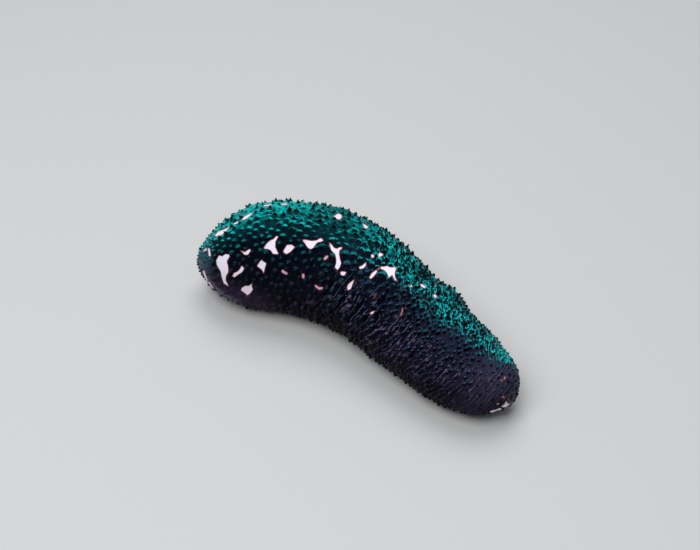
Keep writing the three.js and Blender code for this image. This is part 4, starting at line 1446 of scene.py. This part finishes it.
def make_tube_feet():
    random = np.random.default_rng(SKIN_SEED + 1)
    station = random.uniform(*FOOT_STATIONS, FOOT_TRIALS)
    band = random.choice(FOOT_BANDS, FOOT_TRIALS) + random.uniform(-1, 1, FOOT_TRIALS) * FOOT_BAND_WIDTH
    half_width = sole_half_width(station)
    out = band * half_width
    places = np.column_stack([*beside_line(station, out), np.zeros(FOOT_TRIALS)])
    clear = np.hypot(*(places - opening_frame(MOUTH)[0])[:, :2].T) > MOUTH_ROOM * MOUTH["radius"]
    kept = []
    for i in np.flatnonzero(clear & (np.abs(out) + FOOT_MARGIN < half_width)):
        if all(np.hypot(*(places[i] - places[j])[:2]) > FOOT_SPACING for j in kept):
            kept.append(i)
    count = len(kept)
    width = FOOT_RADIUS * random.uniform(*FOOT_RADIUS_CHANGE, count)
    size = np.column_stack([width, width, np.full(count, (SOLE_LEVEL + FOOT_SINK) / MM)]) * MM
    along = FOOT_STRIP_EDGE + (1 - 2 * FOOT_STRIP_EDGE) * station[kept]
    unwrap = np.column_stack([along, FOOT_STRIP_EDGE + FOOT_STRIP_WIDTH * random.uniform(0, 1, count)])
    up = np.tile([0.0, 0.0, 1.0], (count, 1))
    side = np.column_stack([random.normal(0, 1, (count, 2)), np.zeros(count)])
    return forms_on_points(
        "tube_feet", foot_tree, places[kept], up, unit(side), size, unwrap,
        {"shade": random.uniform(*FOOT_SHADES, count)}, {"Finish": sole_finish, **FOOT_FACES},
    )


finish_piece(make_tube_feet(), "sole", *SOLE_NODES)


# Mouth and vent: puckered rosettes, closed underneath, each in the dip of the skin
SIDES_PER_FOLD = 12
ROSETTE_RINGS = 40
RAGGEDNESS = 0.3
LIP_REACH = 0.4
LIP_POWER = 0.8
# Painted shade of the valleys between the folds, and of the middle at the back
VALLEY_SHADE = 0.35
BACK_SHADE = 0.1


def make_rosette(name, opening, profile, finish, fold_depth, seed):
    """A turned form whose lips rise and fall with its folds, on an opening of the body."""
    centre, outwards, right, up = opening_frame(opening)
    folds = opening["folds"]
    angle = np.linspace(0, 2 * math.pi, SIDES_PER_FOLD * folds, endpoint=False)
    fold_size = np.random.default_rng(seed).uniform(1 - RAGGEDNESS, 1 + RAGGEDNESS, folds)
    wave = (0.5 - 0.5 * np.cos(folds * angle)) ** LIP_POWER * np.repeat(fold_size, SIDES_PER_FOLD)
    knots = np.array(profile, float)
    knot_shares = np.linspace(0, 1, len(knots))
    radius, rise, lips = (
        np.interp(np.linspace(0, 1, ROSETTE_RINGS), knot_shares, row)[:, None] for row in knots.T
    )
    bulge = lips * fold_depth * (wave - 0.5)
    reach = radius * opening["radius"] + LIP_REACH * bulge
    height = (rise - 1) * opening["depth"] + bulge
    places = (
        centre + (np.cos(angle) * reach)[..., None] * right + (np.sin(angle) * reach)[..., None] * up
        + height[..., None] * outwards
    )
    mesh = closed_mesh(name, places[1:-1], places[[0, -1], 0])
    # Painted shade: darker in the valleys between the folds, and in the pit and at the back, where the folds
    # fade out
    shade = lips[1:-1] * mix(VALLEY_SHADE, 1, wave)
    set_attribute(mesh, "shade", np.append(shade.ravel(), [BACK_SHADE, 0.0]))
    mesh.shade_smooth()
    mesh.materials.append(finish)
    return link(name, mesh)


# Each row: share of the radius, share of the depth, and how far the folds show, from the back to the pit
MOUTH_PROFILE = [
    (0, 0, 0), (0.95, 0, 0), (1.08, 0.4, 0.2), (1.02, 0.8, 0.8), (0.84, 1.04, 1), (0.62, 1.0, 1),
    (0.46, 0.7, 0.7), (0.36, 0.3, 0.3), (0.2, 0.1, 0.1), (0, 0.05, 0),
]
VENT_PROFILE = [
    (0, 0, 0), (0.9, 0, 0), (1.05, 0.4, 0.2), (1.0, 0.82, 0.9), (0.8, 0.98, 1), (0.6, 0.9, 1),
    (0.42, 0.5, 0.4), (0.3, 0.2, 0.1), (0.15, 0.1, 0), (0, 0.05, 0),
]
mouth_piece = make_rosette("mouth_lips", MOUTH, MOUTH_PROFILE, mouth_finish, 0.9 * MM, 21)
finish_piece(mouth_piece, "mouth", "mouth")
vent_piece = make_rosette("vent_rim", VENT, VENT_PROFILE, vent_finish, 0.6 * MM, 22)
finish_piece(vent_piece, "vent", "vent")

# Rings of tentacle tips: number, share of the mouth's radius and share of its depth
TENTACLE_RINGS = ((12, 0.36, 0.62), (6, 0.18, 0.55), (1, 0.0, 0.5))
TENTACLE_TURN = 0.3
TENTACLE_SPREAD = 0.4
TENTACLE_WIDTHS = (0.75, 1.05)
TENTACLE_LENGTHS = (1.4, 1.9)
TENTACLE_SHADES = (0.5, 1.0)
TENTACLE_FORM = {"Lobes": 5.0, "Lobe Depth": 0.22, "Sides": 20, "Rings": 10}


def make_tentacles():
    """Tips of the feeding tentacles, drawn in behind the lips."""
    centre, outwards, right, up = opening_frame(MOUTH)
    random = np.random.default_rng(SKIN_SEED + 2)
    places, ways = [], []
    for count, share, depth in TENTACLE_RINGS:
        for i in range(count):
            angle = 2 * math.pi * (i + TENTACLE_TURN * share) / count
            side = math.cos(angle) * right + math.sin(angle) * up
            places.append(centre + side * share * MOUTH["radius"] - outwards * depth * MOUTH["depth"])
            ways.append(outwards + TENTACLE_SPREAD * side)
    number = len(places)
    width = random.uniform(*TENTACLE_WIDTHS, number)
    size = np.column_stack([width, width, random.uniform(*TENTACLE_LENGTHS, number)]) * MM
    ways = unit(np.array(ways))
    side = unit(np.cross(ways, random.normal(0, 1, (number, 3))))
    unwrap = np.column_stack([random.uniform(0.1, 0.9, number), np.linspace(0.1, 0.9, number)])
    return forms_on_points(
        "tentacle_tips", tentacle_tree, places, ways, side, size, unwrap,
        {"shade": random.uniform(*TENTACLE_SHADES, number)}, {"Finish": mouth_finish, **TENTACLE_FORM},
    )


finish_piece(make_tentacles(), "mouth", "mouth")


# Floor, light and view
FLOOR_HALF = 4.0
FLOOR_GREY = colour(0.52, 0.53, 0.54)
SKY = colour(0.92, 0.95, 1.0)
SKY_STRENGTH = 0.22


def aim(name, data, place, way):
    """A camera or a light at a place, looking along a way."""
    item = link(name, data)
    item.location = place
    item.rotation_mode = "QUATERNION"
    item.rotation_quaternion = Vector(way).to_track_quat("-Z", "Y")
    return item


def make_camera():
    data = bpy.data.cameras.new("camera")
    data.lens = CAMERA_LENS
    data.sensor_width = CAMERA_SENSOR
    data.shift_x, data.shift_y = CAMERA_SHIFT
    data.clip_start, data.clip_end = CAMERA_REACH
    scene.camera = aim("camera", data, camera_place, camera_forward)


def make_floor():
    corners = [(x * FLOOR_HALF, y * FLOOR_HALF, 0) for x, y in ((-1, -1), (1, -1), (1, 1), (-1, 1))]
    mesh = bpy.data.meshes.new("floor")
    mesh.from_pydata(corners, [], [(0, 1, 2, 3)])
    material, _, shader = new_material("floor", roughness=0.7, specular=0.2)
    shader.inputs["Base Color"].default_value = FLOOR_GREY
    mesh.materials.append(material)
    floor = link("floor", mesh)


def add_light(name, azimuth, elevation, distance, size, power, tint=(1.0, 1.0, 1.0)):
    """A square soft light that faces the model from an azimuth round it and an elevation, in degrees."""
    azimuth, elevation = math.radians(azimuth), math.radians(elevation)
    level = math.cos(elevation)
    way = Vector((math.cos(azimuth) * level, math.sin(azimuth) * level, math.sin(elevation)))
    data = bpy.data.lights.new(name, "AREA")
    data.size = size
    data.energy = power
    data.color = tint
    aim(name, data, way * distance, -way)


def make_light():
    world = bpy.data.worlds.new("studio")
    world.use_nodes = True
    background = world.node_tree.nodes["Background"]
    background.inputs["Color"].default_value = SKY
    background.inputs["Strength"].default_value = SKY_STRENGTH
    scene.world = world
    add_light("key", -95, 60, 2.4, 1.6, 42, (1.0, 0.98, 0.96))
    add_light("top", 120, 66, 2.4, 1.6, 30)
    add_light("glint", -70, 52, 1.2, 0.07, 0.8)


make_camera()
make_floor()
make_light()
scene.view_settings.view_transform = "Standard"
